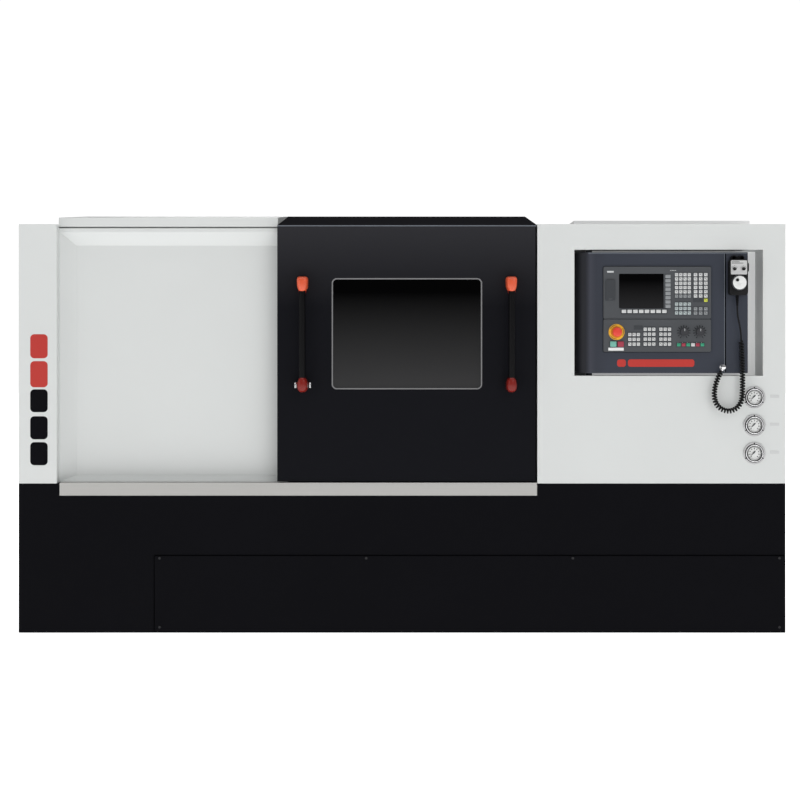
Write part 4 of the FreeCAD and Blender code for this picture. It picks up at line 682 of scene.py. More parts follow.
def key_grid(mat, top, columns, rows, key_width, key_height, skip=()):
    """Rectangles of evenly spread keys on a mat, row by row from the top."""
    x0, x1, z0, z1 = block(*mat, top)
    pitch_x = (x1 - x0) / columns
    pitch_z = (z1 - z0) / rows
    keys = []
    for row in range(rows):
        for column in range(columns):
            if (row, column) in skip:
                continue
            cx = x0 + pitch_x * (column + 0.5)
            cz = z1 - pitch_z * (row + 0.5)
            keys.append((cx, cz, key_width, key_height))
    return keys


def keycaps(name, keys, material):
    """Keys with a sloped rim and rounded corners."""
    bm = bmesh.new()
    foot = UNIT_FACE - MAT_RISE + KEY_BASE
    for cx, cz, width, height in keys:
        loops = [
            (rounded(cx, cz, width, height, 0.0012, 2), foot),
            (rounded(cx, cz, width - 0.0004, height - 0.0004, 0.0012, 2), foot - KEY_RISE * 0.75),
            (rounded(cx, cz, width - 0.0016, height - 0.0016, 0.0010, 2), foot - KEY_RISE),
        ]
        add_loft(bm, loops)
    return finish_piece(name, bm, material, "console", smooth=50)


def add_legend(bm, cx, cz, width, height, strokes):
    """Printed bars and dots that stand for a key's legend."""
    face = UNIT_FACE - MAT_RISE + KEY_BASE - KEY_RISE
    unit = height / 5
    for dx, dz, w, h in strokes:
        x, z = cx + dx * width / 2, cz + dz * height / 2
        add_prism(
            bm, rounded(x, z, w * width, h * unit, min(w * width, h * unit) * 0.3, 1), face - 0.00012,
            face + 0.0002,
        )


LEGENDS = (
    ((-0.30, 0.25, 0.28, 1.0), (0.25, -0.25, 0.22, 0.7)),
    ((-0.28, 0.22, 0.09, 1.8), (-0.05, 0.22, 0.22, 0.5), (0.3, -0.3, 0.2, 0.6)),
    ((-0.26, 0.25, 0.30, 0.45), (-0.26, -0.02, 0.22, 0.45), (0.3, -0.3, 0.12, 1.0)),
    ((-0.20, 0.20, 0.12, 1.6), (-0.38, 0.20, 0.08, 1.6), (0.28, -0.3, 0.24, 0.6)),
)


def legends(name, keys, material):
    bm = bmesh.new()
    for i, (cx, cz, width, height) in enumerate(keys):
        add_legend(bm, cx, cz, width, height, LEGENDS[(i * 7 + i // 3) % len(LEGENDS)])
    finish_piece(name, bm, material, "console")


def mats():
    bm = bmesh.new()
    groups = [(mat, CNC_TOP) for mat in CNC_MATS.values()] + [
        (mat, PANEL_TOP) for mat in MACHINE_MATS.values()
    ]
    for mat, top in groups:
        add_prism(bm, rectangle(*block(*mat, top), 0.002), UNIT_FACE - MAT_RISE, UNIT_FACE + 0.001)
    piece = finish_piece("key_mats", bm, FASCIA_DARK, "console", 0.0004)
    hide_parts("panel_keys")


def cnc_keys():
    letters = key_grid(CNC_MATS["letters"], CNC_TOP, 4, 6, KEY_SIZE, KEY_SIZE)
    digits = key_grid(CNC_MATS["digits"], CNC_TOP, 3, 7, WIDE_KEY, KEY_SIZE, skip=((6, 0), (6, 2)))
    keycaps("letter_keys", letters[:20], KEY_LIGHT)
    keycaps("shift_keys", letters[20:], KEY_MID)
    keycaps("digit_keys", digits[:-1], KEY_LIGHT)
    reset = key_grid(CNC_MATS["digits"], CNC_TOP, 3, 7, WIDE_KEY, KEY_SIZE)[-1:]
    keycaps("reset_key", reset, KEY_YELLOW)
    cursor = key_grid(CNC_MATS["cursor"], CNC_TOP, 4, 3, KEY_SIZE, KEY_SIZE)
    edit = key_grid(CNC_MATS["edit"], CNC_TOP, 3, 2, WIDE_KEY, KEY_SIZE)
    keycaps("cursor_keys", cursor, KEY_CYAN)
    keycaps("edit_keys", edit, KEY_MID)
    side = key_grid(CNC_MATS["soft_side"], CNC_TOP, 1, 8, 0.0205, 0.0135)
    row = key_grid(CNC_MATS["soft_row"], CNC_TOP, 8, 1, 0.0175, 0.013)
    keycaps("side_soft_keys", side, KEY_MID)
    keycaps("row_soft_keys", row, KEY_LIGHT)
    legends("cnc_legends", letters + digits + reset + cursor + edit, INK)


CYCLE_KEYS = (
    ("cycle_run", KEY_GREEN), ("cycle_hold", KEY_RED), ("spindle_forward", KEY_GREEN),
    ("spindle_jog", KEY_LIGHT), ("spindle_halt", KEY_RED), ("spindle_reverse", KEY_GREEN),
)


def machine_keys():
    keys = []
    for mat, rows in (("modes", 3), ("axes", 4), ("jog", 4)):
        keys += key_grid(MACHINE_MATS[mat], PANEL_TOP, 3, rows, KEY_SIZE, KEY_SIZE)
    keycaps("mode_keys", keys, KEY_LIGHT)
    legends("machine_legends", keys, INK)
    cycle = key_grid(MACHINE_MATS["cycle"], PANEL_TOP, 6, 1, 0.0145, KEY_SIZE)
    for i, (name, material) in enumerate(CYCLE_KEYS):
        keycaps(name + "_key", cycle[i : i + 1], material)
    lamps = [(k[0] - 0.004, k[1] + 0.009, 0.002, 0.002) for k in cycle]
    keycaps("cycle_lamps", lamps, INK_LIGHT)


# ---------------------------------------------------------------- control units
SCREEN_BLOCK = (0.0605, 0.0275, 0.174, 0.1345)
SCREEN_SINK = 0.0022
MARK_Y = (UNIT_FACE + 0.0004, UNIT_FACE + 0.001)
BUTTON_MARGIN = 0.0012


def unit_plate(name, low, high, hole, node_name, floor=True):
    """A fascia with a raised rim round a slightly lower field and one hole."""
    x0, x1, z0, z1 = low.x, high.x, low.z, high.z
    rim = 0.0035
    bm = bmesh.new()
    outer = rectangle(x0, x1, z0, z1, 0.006, 4)
    inner = rectangle(x0 + rim, x1 - rim, z0 + rim, z1 - rim, 0.004, 4)
    window = rectangle(*hole, 0.004, 4)
    if floor:
        add_prism(bm, outer, UNIT_FACE + SCREEN_SINK + 0.0005, CONSOLE_FACE + 0.002)
        add_ring(bm, outer, window, UNIT_FACE + 0.0006, UNIT_FACE + SCREEN_SINK + 0.0005)
    else:
        add_ring(bm, outer, window, UNIT_FACE + 0.0006, CONSOLE_FACE + 0.002)
    add_ring(bm, outer, inner, UNIT_FACE, UNIT_FACE + 0.0008)
    piece = finish_piece(name, bm, FASCIA, "console", 0.0007)
    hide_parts(node_name)


def control_units():
    screen = block(*SCREEN_BLOCK, CNC_TOP)
    unit_plate("cnc_fascia", CNC_LOW, CNC_HIGH, screen, "cnc_panel")
    start_low, start_high = corners("start_button")
    stop_low, stop_high = corners("stop_button")
    margin = BUTTON_MARGIN
    hole = (start_low.x - margin, stop_high.x + margin, start_low.z - margin, start_high.z + margin)
    unit_plate("machine_fascia", PANEL_LOW, PANEL_HIGH, hole, "machine_panel", floor=False)
    bridge = rectangle(
        start_high.x + margin, stop_low.x - margin, hole[2] - 0.001, hole[3] + 0.001, 0.0003, 1
    )
    plates("button_bridge", [bridge], UNIT_FACE + 0.0006, CONSOLE_FACE + 0.001, FASCIA, "console")
    x0, x1, z0, z1 = screen
    glass = rectangle(x0, x1, z0, z1, 0.004, 4)
    depth = UNIT_FACE + SCREEN_SINK
    inlays("screen_frame", [glass], depth, 0.0002, FASCIA_DARK, "console")
    view = rectangle(x0 + 0.0004, x1 - 0.0004, z0 + 0.0004, z1 - 0.0004, 0.003)
    plates("screen_glass", [view], depth - 0.0009, depth, SCREEN, "console", 0.0003)
    marks = bmesh.new()
    for i in range(4):
        x = UNIT_LEFT + 0.262 + 0.0062 * i
        add_prism(marks, rounded(x, CNC_TOP - 0.015, 0.0044, 0.0024, 0.0006, 1), *MARK_Y)
    x, z = UNIT_LEFT + 0.027, CNC_TOP - 0.020
    add_prism(marks, rounded(x, z, 0.026, 0.0065, 0.002, 3), *MARK_Y)
    finish_piece("fascia_marks", marks, INK_LIGHT, "console")
    strip = block(0.019, 0.1105, 0.060, 0.0115, PANEL_TOP)
    plates(
        "blank_strip", [rectangle(*strip, 0.0012)], UNIT_FACE + 0.0001, UNIT_FACE + 0.001, DIAL_WHITE,
        "console", 0.0003,
    )
    slot = block(0.118, 0.024, 0.034, 0.016, PANEL_TOP)
    inlays("tool_display", [rectangle(*slot, 0.0015)], UNIT_FACE, 0.0004, FASCIA_DARK, "console", 0.0003)


def port_flap():
    low, high = corners("usb_flap")
    bm = bmesh.new()
    add_prism(bm, rectangle(low.x, high.x, low.z, high.z, 0.003), low.y, high.y)
    piece = finish_piece("port_flap", bm, FASCIA_DARK, "usb_flap_body", 0.0009, 3)
    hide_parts("usb_flap")
    cx = (low.x + high.x) / 2
    grip = [rounded(cx, low.z + 0.006, 0.014, 0.004, 0.0019, 3)]
    inlays("port_flap_grip", grip, low.y, 0.0006, FASCIA, "usb_flap_body", 0.0004)


# ---------------------------------------------------------------- stop, start and turning knobs
CAP_SHARE = 0.92


def estop():
    low, high = corners("estop_button")
    collar_low, collar_high = corners("estop_collar")
    radius = (collar_high.x - collar_low.x) / 2
    cx, cz = (collar_low.x + collar_high.x) / 2, (collar_low.z + collar_high.z) / 2
    rise = collar_high.y - collar_low.y
    profile = [(radius, 0), (radius, rise * 0.7), (radius - 0.0008, rise), (0.0125, rise), (0.0125, 0)]
    ring = turned("stop_collar", (cx, collar_high.y, cz), profile, SIGNAL_YELLOW, "console", 64)
    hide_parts("estop_collar")
    head = collar_low.y - low.y
    cap = (high.x - low.x) / 2 * CAP_SHARE
    profile = [
        (0.0108, -0.012), (0.0108, head * 0.35), (0.0135, head * 0.42), (cap - 0.0006, head * 0.50),
        (cap, head * 0.56), (cap, head * 0.80), (cap * 0.93, head * 0.91),
        (cap * 0.78, head * 0.97), (cap * 0.45, head), (0, head),
    ]
    button = turned("stop_mushroom", (cx, collar_low.y, cz), profile, SIGNAL_RED, "estop_button_body", 64)
    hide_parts("estop_button")
    halo = [circle(cx, cz, radius * 0.74, 48)]
    plates(
        "stop_collar_face", halo, collar_low.y - 0.0006, collar_low.y + 0.0006, STOP_ORANGE, "console", 0.0004
    )
    arrows = bmesh.new()
    for k in range(3):
        start = math.radians(90 + 120 * k)
        span = math.radians(62)
        add_arc(
            arrows, (cx, cz), radius * 0.88, 0.0020, start, span, 10, collar_low.y - 0.0002,
            collar_low.y + 0.0006,
        )
    finish_piece("stop_collar_arcs", arrows, INK, "console")


def add_arc(bm, middle, radius, width, start, span, steps, y0, y1):
    """A flat curved bar about a centre."""
    angles = [start + span * i / steps for i in range(steps + 1)]

    def bow(r):
        return [(middle[0] + r * math.cos(a), middle[1] + r * math.sin(a)) for a in angles]

    add_prism(bm, bow(radius + width / 2) + bow(radius - width / 2)[::-1], y0, y1)


CAP_LENGTH = 0.0078


def push_buttons():
    for node_name, material in (("start_button", START_GREEN), ("stop_button", STOP_PINK)):
        body = node_name + "_body"
        low, high = corners(node_name)
        bm = bmesh.new()
        cx, cz = (low.x + high.x) / 2, (low.z + high.z) / 2
        w, h = high.x - low.x, high.z - low.z
        loops = [
            (rounded(cx, cz, w, h, 0.003, 3), low.y + CAP_LENGTH),
            (rounded(cx, cz, w, h, 0.003, 3), low.y + 0.0012),
            (rounded(cx, cz, w - 0.002, h - 0.002, 0.003, 3), low.y + 0.0002),
            (rounded(cx, cz, w - 0.006, h - 0.006, 0.003, 3), low.y),
        ]
        add_loft(bm, loops)
        piece = finish_piece(node_name + "_cap", bm, material, body, smooth=50)
        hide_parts(node_name)
        frame_outer = rounded(cx, cz, w + 0.004, h + 0.004, 0.004, 3)
        frame_inner = rounded(cx, cz, w + 0.0006, h + 0.0006, 0.003, 3)
        rim = bmesh.new()
        add_ring(rim, frame_outer, frame_inner, UNIT_FACE - 0.0015, UNIT_FACE + 0.001)
        finish_piece(node_name + "_rim", rim, FASCIA_DARK, "console", 0.0004)


SCALE_MARKS = 13
SCALE_START = -60
SCALE_STEP = 25
SCALE_TICK = ((0.72, -0.001), (1.0, -0.001), (1.0, 0.001), (0.72, 0.001))


def turned_point(cx, cz, r, s, angle):
    """A point r along and s across a line that leaves a centre at an angle."""
    return cx + r * math.cos(angle) - s * math.sin(angle), cz + r * math.sin(angle) + s * math.cos(angle)


def turning_knob(node_name, material, flutes, pointer_material, plate_radius=0.0):
    """A fluted knob with a pointer line; its seat may carry a ring of printed marks."""
    body = node_name + "_body"
    low, high = corners(node_name)
    radius = (high.x - low.x) / 2
    seat = UNIT_FACE if plate_radius else low.y + (high.y - low.y) * 0.55
    cx, cz = (low.x + high.x) / 2, (low.z + high.z) / 2
    reach = seat - low.y
    depth = radius * 0.035
    profile = [
        (radius * 0.30, -0.004), (radius * 0.30, reach * 0.03), (radius * 0.98, reach * 0.05),
        (radius, reach * 0.16), (radius - depth, reach * 0.22),
        (radius - depth * 1.4, reach * 0.92), (radius * 0.86, reach), (radius * 0.72, reach),
        (radius * 0.68, reach * 0.97), (0, reach * 0.97),
    ]
    knob = turned(node_name + "_grip", (cx, seat, cz), profile, material, body, 96, (flutes, depth, 4, 6))
    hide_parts(node_name)
    line = [rounded(cx, cz + radius * 0.50, radius * 0.11, radius * 0.62, radius * 0.03, 2)]
    plates(node_name + "_pointer", line, low.y - 0.0001, low.y + reach * 0.1, pointer_material, body)
    if plate_radius:
        ticks = bmesh.new()
        for i in range(SCALE_MARKS):
            angle = math.radians(SCALE_START + SCALE_STEP * i)
            tick = [(plate_radius * f, s) for f, s in SCALE_TICK]
            turn = [turned_point(cx, cz, r, s, angle) for r, s in tick]
            add_prism(ticks, turn, *MARK_Y)
        finish_piece(node_name + "_scale", ticks, PRINT_AND_SHADOW_BLACK, "console")


def console_knobs():
    turning_knob("feed_knob", KNOB_GREY, 20, INK_LIGHT, 0.027)
    turning_knob("spindle_knob", KNOB_GREY, 20, INK_LIGHT, 0.027)
    turning_knob("axis_knob", PENDANT_BLACK, 12, DIAL_WHITE)
    turning_knob("step_knob", PENDANT_BLACK, 12, DIAL_WHITE)


console()
recess_glow_liner()
plain_bars()
control_units()
mats()
cnc_keys()
machine_keys()
port_flap()
estop()
push_buttons()
console_knobs()


# ---------------------------------------------------------------- hand-held pendant
PENDANT_LOW, PENDANT_HIGH = corners("pendant_body")
PENDANT_FACE = PENDANT_LOW.y
GLAND_OUTLET = 0.016
WHEEL_LOW, WHEEL_HIGH = corners("pendant_handwheel")


def pendant():
    x0, x1, z0, z1 = PENDANT_LOW.x, PENDANT_HIGH.x, PENDANT_LOW.z, PENDANT_HIGH.z
    cx, cz = (x0 + x1) / 2, (z0 + z1) / 2
    w, h = x1 - x0, z1 - z0
    depth = PENDANT_HIGH.y - PENDANT_FACE
    bm = bmesh.new()
    loops = [
        (rounded(cx, cz, w - 0.004, h - 0.004, 0.009, 5), PENDANT_HIGH.y),
        (rounded(cx, cz, w, h, 0.011, 5), PENDANT_HIGH.y - depth * 0.12),
        (rounded(cx, cz, w, h, 0.011, 5), PENDANT_FACE + depth * 0.16),
        (rounded(cx, cz, w - 0.003, h - 0.003, 0.010, 5), PENDANT_FACE + depth * 0.04),
        (rounded(cx, cz, w - 0.007, h - 0.007, 0.009, 5), PENDANT_FACE),
    ]
    add_loft(bm, loops)
    seam = PENDANT_FACE + depth * 0.55
    for x in (x0 - 0.0002, x1 - 0.0008):
        add_box(bm, (x, seam, z0 + 0.012), (x + 0.001, seam + 0.0012, z1 - 0.012))
    body = finish_piece("pendant_case", bm, PENDANT_BLACK, "console", smooth=30)
    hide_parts("pendant_body")
    low = WHEEL_HIGH.z + 0.002
    plate = rounded(cx, (low + z1 - 0.004) / 2, w - 0.010, z1 - 0.004 - low, 0.004, 4)
    inlays("pendant_faceplate", [plate], PENDANT_FACE, 0.0006, PLATE_SILVER, "console", 0.0003)
    marks = bmesh.new()
    for name in ("axis_knob", "step_knob"):
        at = centre(name)
        for i in range(5):
            angle = math.radians(30 + 30 * i)
            spot = (at.x + 0.0115 * math.cos(angle), at.z + 0.0115 * math.sin(angle))
            add_prism(marks, rounded(*spot, 0.0018, 0.0026, 0.0006, 1), PENDANT_FACE - 0.0008, PENDANT_FACE)
    for i, share in enumerate((0.42, 0.62)):
        z = z1 - 0.010 - 0.005 * i
        add_prism(
            marks, rounded(x0 + 0.008 + w * share / 2, z, w * share, 0.0022, 0.0006, 1),
            PENDANT_FACE - 0.0008, PENDANT_FACE,
        )
    finish_piece("pendant_marks", marks, INK, "console")
    holder_hook(cx, z1)


def holder_hook(cx, top):
    """Pressed bracket behind the pendant with two prongs that show above it."""
    low, high = corners("pendant_holder")
    bm = bmesh.new()
    add_prism(bm, rectangle(low.x, high.x - 0.003, low.z, high.z - 0.004, 0.004), low.y, high.y)
    for side in (-1, 1):
        x = cx + side * (high.x - low.x) * 0.28
        add_prism(bm, rounded(x, (top + high.z) / 2, 0.013, high.z - top, 0.003, 3), low.y, high.y)
    piece = finish_piece("pendant_hook", bm, GRIP_BLACK, "console", 0.0008)
    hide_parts("pendant_holder")


def handwheel():
    """Bright dial inside a graduated grey rim, with a crank grip."""
    cx, cz = (WHEEL_LOW.x + WHEEL_HIGH.x) / 2, (WHEEL_LOW.z + WHEEL_HIGH.z) / 2
    radius = (WHEEL_HIGH.x - WHEEL_LOW.x) / 2
    reach = PENDANT_FACE - WHEEL_LOW.y
    at = (cx, PENDANT_FACE, cz)
    rim = [
        (0.004, -0.006), (0.004, 0.001), (radius * 0.93, 0.001), (radius, reach * 0.08),
        (radius, reach * 0.40), (radius * 0.95, reach * 0.48), (radius * 0.76, reach * 0.50),
        (0, reach * 0.50),
    ]
    piece = turned("wheel_rim", at, rim, KNOB_GREY, "pendant_handwheel_body", 96, (48, 0.0003, 3, 4))
    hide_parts("pendant_handwheel")
    disc = [
        (radius * 0.86, reach * 0.45), (radius * 0.86, reach * 0.60), (radius * 0.83, reach * 0.64),
        (radius * 0.30, reach * 0.64), (radius * 0.24, reach * 0.58), (0, reach * 0.58),
    ]
    turned("wheel_disc", at, disc, DIAL_WHITE, "pendant_handwheel_body", 64)
    grip_at = (cx - radius * 0.33, PENDANT_FACE, cz + radius * 0.33)
    grip = [
        (0.0052, reach * 0.60), (0.0048, reach * 0.68), (0.0062, reach * 0.80), (0.0058, reach * 0.97),
        (0, reach),
    ]
    turned("wheel_grip", grip_at, grip, PENDANT_BLACK, "pendant_handwheel_body", 32)
    ticks = bmesh.new()
    for i in range(50):
        angle = 2 * math.pi * i / 50
        inner = radius * (0.87 if i % 5 == 0 else 0.90)
        add_radial(
            ticks, (cx, cz), angle, inner, radius * 0.94, 0.0004, PENDANT_FACE - reach * 0.505,
            PENDANT_FACE - reach * 0.47,
        )
    finish_piece("wheel_graduations", ticks, INK_LIGHT, "pendant_handwheel_body")


def add_radial(bm, middle, angle, inner, outer, width, y0, y1):
    """A flat bar that points away from a centre."""
    c, s = math.cos(angle), math.sin(angle)
    half = width / 2
    corners = [(inner, -half), (outer, -half), (outer, half), (inner, half)]
    add_prism(bm, [(middle[0] + r * c - t * s, middle[1] + r * s + t * c) for r, t in corners], y0, y1)


def enable_trigger():
    low, high = corners("enable_button")
    bm = bmesh.new()
    cy, cz = (low.y + high.y) / 2, (low.z + high.z) / 2
    w, h = high.y - low.y, high.z - low.z
    loops = [
        (rounded(cy, cz, w, h, 0.003, 3), low.x),
        (rounded(cy, cz, w, h, 0.003, 3), high.x - 0.0015),
        (rounded(cy, cz, w - 0.002, h - 0.003, 0.003, 3), high.x),
    ]
    add_loft(bm, loops, "X")
    piece = finish_piece("enable_trigger", bm, GRIP_BLACK, "enable_button_body", smooth=45)
    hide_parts("enable_button")


def add_frustum(bm, start, end, radii, steps=28):
    """A tapered round body between two points."""
    start, end = Vector(start), Vector(end)
    ahead = (end - start).normalized()
    side = ahead.cross(Vector((0, 1, 0)))
    if side.length < 1e-4:
        side = Vector((1, 0, 0))
    side.normalize()
    up = side.cross(ahead)
    rings = []
    for share, radius in radii:
        spot = start.lerp(end, share)
        ring = []
        for i in range(steps):
            angle = 2 * math.pi * i / steps
            ring.append(bm.verts.new(spot + radius * (math.cos(angle) * side + math.sin(angle) * up)))
        rings.append(ring)
    for a, b in zip(rings, rings[1:]):
        for i in range(steps):
            j = (i + 1) % steps
            bm.faces.new((a[i], a[j], b[j], b[i]))
    bm.faces.new(list(reversed(rings[0])))
    bm.faces.new(rings[-1])


def cord_fittings():
    """Ribbed strain relief under the pendant, and the plated gland on the console."""
    x, top = LEAD_ROUTE[0][0], PENDANT_LOW.z
    bottom = LEAD_ROUTE[0][1]
    ribs = []
    for i in range(9):
        share = i / 9
        base = 0.007 - 0.003 * share
        ribs += [
            (share, base), (share + 0.055, base), (share + 0.06, base - 0.0009),
            (share + 0.105, base - 0.0009),
        ]
    bm = bmesh.new()
    add_frustum(bm, (x, CORD_Y, top + 0.001), (x, CORD_Y, bottom), ribs)
    relief = finish_piece("pendant_relief", bm, GRIP_BLACK, "console")
    end = Vector((COIL_ROUTE[-1][0], CORD_Y, COIL_ROUTE[-1][1]))
    before = Vector((COIL_ROUTE[-2][0], CORD_Y, COIL_ROUTE[-2][1]))
    seat = end + (end - before).normalized() * GLAND_OUTLET
    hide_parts("cord_gland")
    nut = bmesh.new()
    add_frustum(
        nut, end - (seat - end) * 0.02, end.lerp(seat, 0.45), [(0, 0.0045), (0.15, 0.0062), (1, 0.0065)]
    )
    add_frustum(nut, end.lerp(seat, 0.42), seat, [(0, 0.0075), (1, 0.0075)], 6)
    finish_piece("gland_nut", nut, CHROME, "console")
    reach = CONSOLE_FACE - CORD_Y
    boss = [
        (0.0098, -0.002), (0.0098, 0.003), (0.0085, 0.0036), (0.0085, reach * 0.7),
        (0.0098, reach * 0.8), (0.0098, reach + 0.007), (0.0085, reach + 0.009),
        (0.004, reach + 0.0099), (0, reach + 0.0099),
    ]
    turned("gland_boss", (seat.x, CONSOLE_FACE, seat.z), boss, CHROME, "console", 40)


# ---------------------------------------------------------------- pressure gauges
# Two black rings: a rubber gasket between flange and bezel, and painted shade inside the bezel.
GAUGE_DARK_RINGS = ((0.0366, 0.0338, 0.0045), (0.0301, 0.0282, 0.0116))


def gauges():
    low, high = corners("gauge_cases")
    x = (low.x + high.x) / 2
    radius = (high.x - low.x) / 2
    cases = bmesh.new()
    bezels = bmesh.new()
    dials = bmesh.new()
    ticks = bmesh.new()
    screws = bmesh.new()
    dark_rings = bmesh.new()
    for node_name in ("gauge_needle_1", "gauge_needle_2", "gauge_needle_3"):
        z = centre(node_name).z
        at = (x, FRONT, z)
        flange = [
            (radius, 0), (radius, 0.003), (radius - 0.001, 0.004), (0.0335, 0.004), (0.031, 0.0),
            (0.031, -0.045),
        ]
        add_turned(cases, at, flange, 72)
        bezel = [
            (0.0338, 0.003), (0.0338, 0.0105), (0.0330, 0.0118), (0.0315, 0.0120), (0.0300, 0.0112),
            (0.0290, 0.0088), (0.0290, 0.0035),
        ]
        add_turned(bezels, at, bezel, 72)
        add_turned(dials, at, [(0.0290, 0.0030), (0.0290, 0.0041), (0, 0.0041)], 64)
        for outer, inner, reach in GAUGE_DARK_RINGS:
            add_ring(dark_rings, circle(x, z, outer, 72), circle(x, z, inner, 72), FRONT - reach, FRONT - 0.002)
        for i in range(41):
            angle = math.radians(-45 + 270 * i / 40)
            inner = 0.0215 if i % 5 == 0 else 0.0238
            add_radial(ticks, (x, z), angle, inner, 0.0258, 0.0010, FRONT - 0.0044, FRONT - 0.0038)
        add_arc(
            ticks, (x, z), 0.0260, 0.0008, math.radians(-45), math.radians(270), 48, FRONT - 0.0044,
            FRONT - 0.0038,
        )
        for i in range(9):
            angle = math.radians(-45 + 270 * i / 8)
            spot = (x + 0.0178 * math.cos(angle), z + 0.0178 * math.sin(angle))
            add_prism(ticks, rounded(*spot, 0.0036, 0.0040, 0.0008, 1), FRONT - 0.0044, FRONT - 0.0038)
        for i in range(3):
            angle = math.radians(90 + 120 * i)
            spot = (x + 0.0386 * math.cos(angle), FRONT, z + 0.0386 * math.sin(angle))
            add_turned(screws, spot, [(0.0026, 0.003), (0.0026, 0.0052), (0.0018, 0.0058), (0, 0.0058)], 20)
    case = finish_piece("gauge_flanges", cases, FLANGE_METAL, "machine")
    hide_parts("gauge_cases")
    finish_piece("gauge_bezels", bezels, CHROME, "machine", smooth=60)
    finish_piece("gauge_dials", dials, DIAL_WHITE, "machine")
    finish_piece("gauge_scales", ticks, INK, "machine")
    finish_piece("gauge_screws", screws, GRIP_BLACK, "machine")
    finish_piece("gauge_gasket_and_shade_rings", dark_rings, GRIP_BLACK, "machine")
    labels = [
        rounded(x + 0.080, centre(n).z + 0.004, 0.036, 0.012, 0.002, 3)
        for n in ("gauge_needle_1", "gauge_needle_2", "gauge_needle_3")
    ]
    inlays("gauge_label_plates", labels, FRONT, 0.0006, PLATE_GREY, "machine", 0.0003)


# ---------------------------------------------------------------- door handles
def handle_caps():
    """Domed moulded ends of the two grip tubes, shield-shaped above and egg-shaped below."""
    low, high = corners("handle_ends")
    reach = high.y - low.y
    width = 0.045
    height = 0.062
    top = bmesh.new()
    bottom = bmesh.new()
    for x in (low.x + width / 2, high.x - width / 2):
        for bm, z, sign in ((top, high.z - height / 2, 1), (bottom, low.z + height / 2, -1)):
            loops = []
            for share, grow in (
                (0.0, 0.94), (0.10, 1.0), (0.55, 1.0), (0.80, 0.95), (0.93, 0.84), (1.0, 0.62)
            ):
                loops.append((cap_outline(x, z, width * grow, height * grow, sign), high.y - reach * share))
            add_loft(bm, loops)
    # Top caps in the lighter tone, bottom caps and lips in the darker copy: painted light and shade.
    piece = finish_piece("handle_top_caps", top, CAP_LIT_ORANGE, "door", smooth=60)
    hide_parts("handle_ends")
    finish_piece("handle_bottom_caps", bottom, CAP_SHADED_RED, "door", smooth=60)
    lips = bmesh.new()
    for x in (low.x + width / 2, high.x - width / 2):
        z = high.z - height * 0.88
        y = high.y - reach * 0.5
        add_frustum(lips, (x, y, z), (x, y, z - 0.012), [(0, 0.0155), (0.5, 0.0150), (1, 0.0120)], 32)
    finish_piece("handle_cap_lips", lips, CAP_SHADED_RED, "door", smooth=60)
    left = low.x + width / 2
    z = low.z + height / 2
    clips = bmesh.new()
    for side in (-1, 1):
        at = (left + side * 0.028, high.y, z + 0.004)
        add_turned(
            clips, at,
            [(0.0075, 0), (0.0075, 0.010), (0.0055, 0.014), (0.0055, 0.020), (0.003, 0.023), (0, 0.023)], 28,
        )
        add_box(clips, (at[0] - 0.004, high.y - 0.018, z - 0.014), (at[0] + 0.004, high.y - 0.002, z + 0.002))
    finish_piece("handle_clips", clips, CHROME, "door", 0.0006)


def cap_outline(x, z, width, height, sign):
    """Top caps are shields that narrow downwards; bottom caps are eggs that narrow upwards."""
    points = []
    steps = 44
    for i in range(steps):
        angle = 2 * math.pi * i / steps
        c, s = math.cos(angle), math.sin(angle)
        power = 0.42 if sign > 0 and s > 0 else 0.85
        u = math.copysign(abs(c) ** power, c)
        v = math.copysign(abs(s) ** power, s)
        taper = 1 - 0.16 * (1 - v) / 2 if sign > 0 else 1 - 0.22 * (1 + v) / 2
        points.append((x + u * taper * width / 2, z + v * height / 2))
    return points


def grip_tubes():
    """Ribless soft tubes with end collars."""
    low, high = corners("handle_bars")
    radius = (high.y - low.y) / 2
    bm = bmesh.new()
    y = (low.y + high.y) / 2
    for x in (low.x + radius, high.x - radius):
        length = high.z - low.z
        collar = 0.030 / length
        radii = [
            (0, radius * 0.9), (collar, radius * 0.98), (collar * 1.1, radius), (1 - collar * 1.1, radius)
        ]
        radii += [(1 - collar, radius * 0.98), (1, radius * 0.9)]
        add_frustum(bm, (x, y, low.z), (x, y, high.z), radii, 40)
    piece = finish_piece("grip_tubes", bm, GRIP_BLACK, "door")
    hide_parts("handle_bars")


pendant()
handwheel()
enable_trigger()
cord_fittings()
gauges()
handle_caps()
grip_tubes()


# ---------------------------------------------------------------- seams, louvres and screws
SEAM = 0.0025
LOUVRE_PITCH = 0.022
SCREW_INSET = 0.022
SCREW_SHARES = (0.03, 0.35, 0.65, 0.97)
HINGE_X = 0.752
HINGE_BOTTOMS = (0.78, 1.12, 1.50)
HINGE_PIN = [(0, 0.007), (1, 0.007)]
SCREW_HEAD = [(0.007, 0.001), (0.007, -0.0018), (0.0055, -0.0032), (0.003, -0.0036), (0, -0.0036)]


def seam_ring(bm, low_x, high_x, low_z, high_z, y0, y1, radius=0.006):
    outer = rectangle(low_x, high_x, low_z, high_z, radius)
    inner = rectangle(low_x + SEAM, high_x - SEAM, low_z + SEAM, high_z - SEAM, radius - SEAM / 2)
    add_ring(bm, outer, inner, y0, y1)


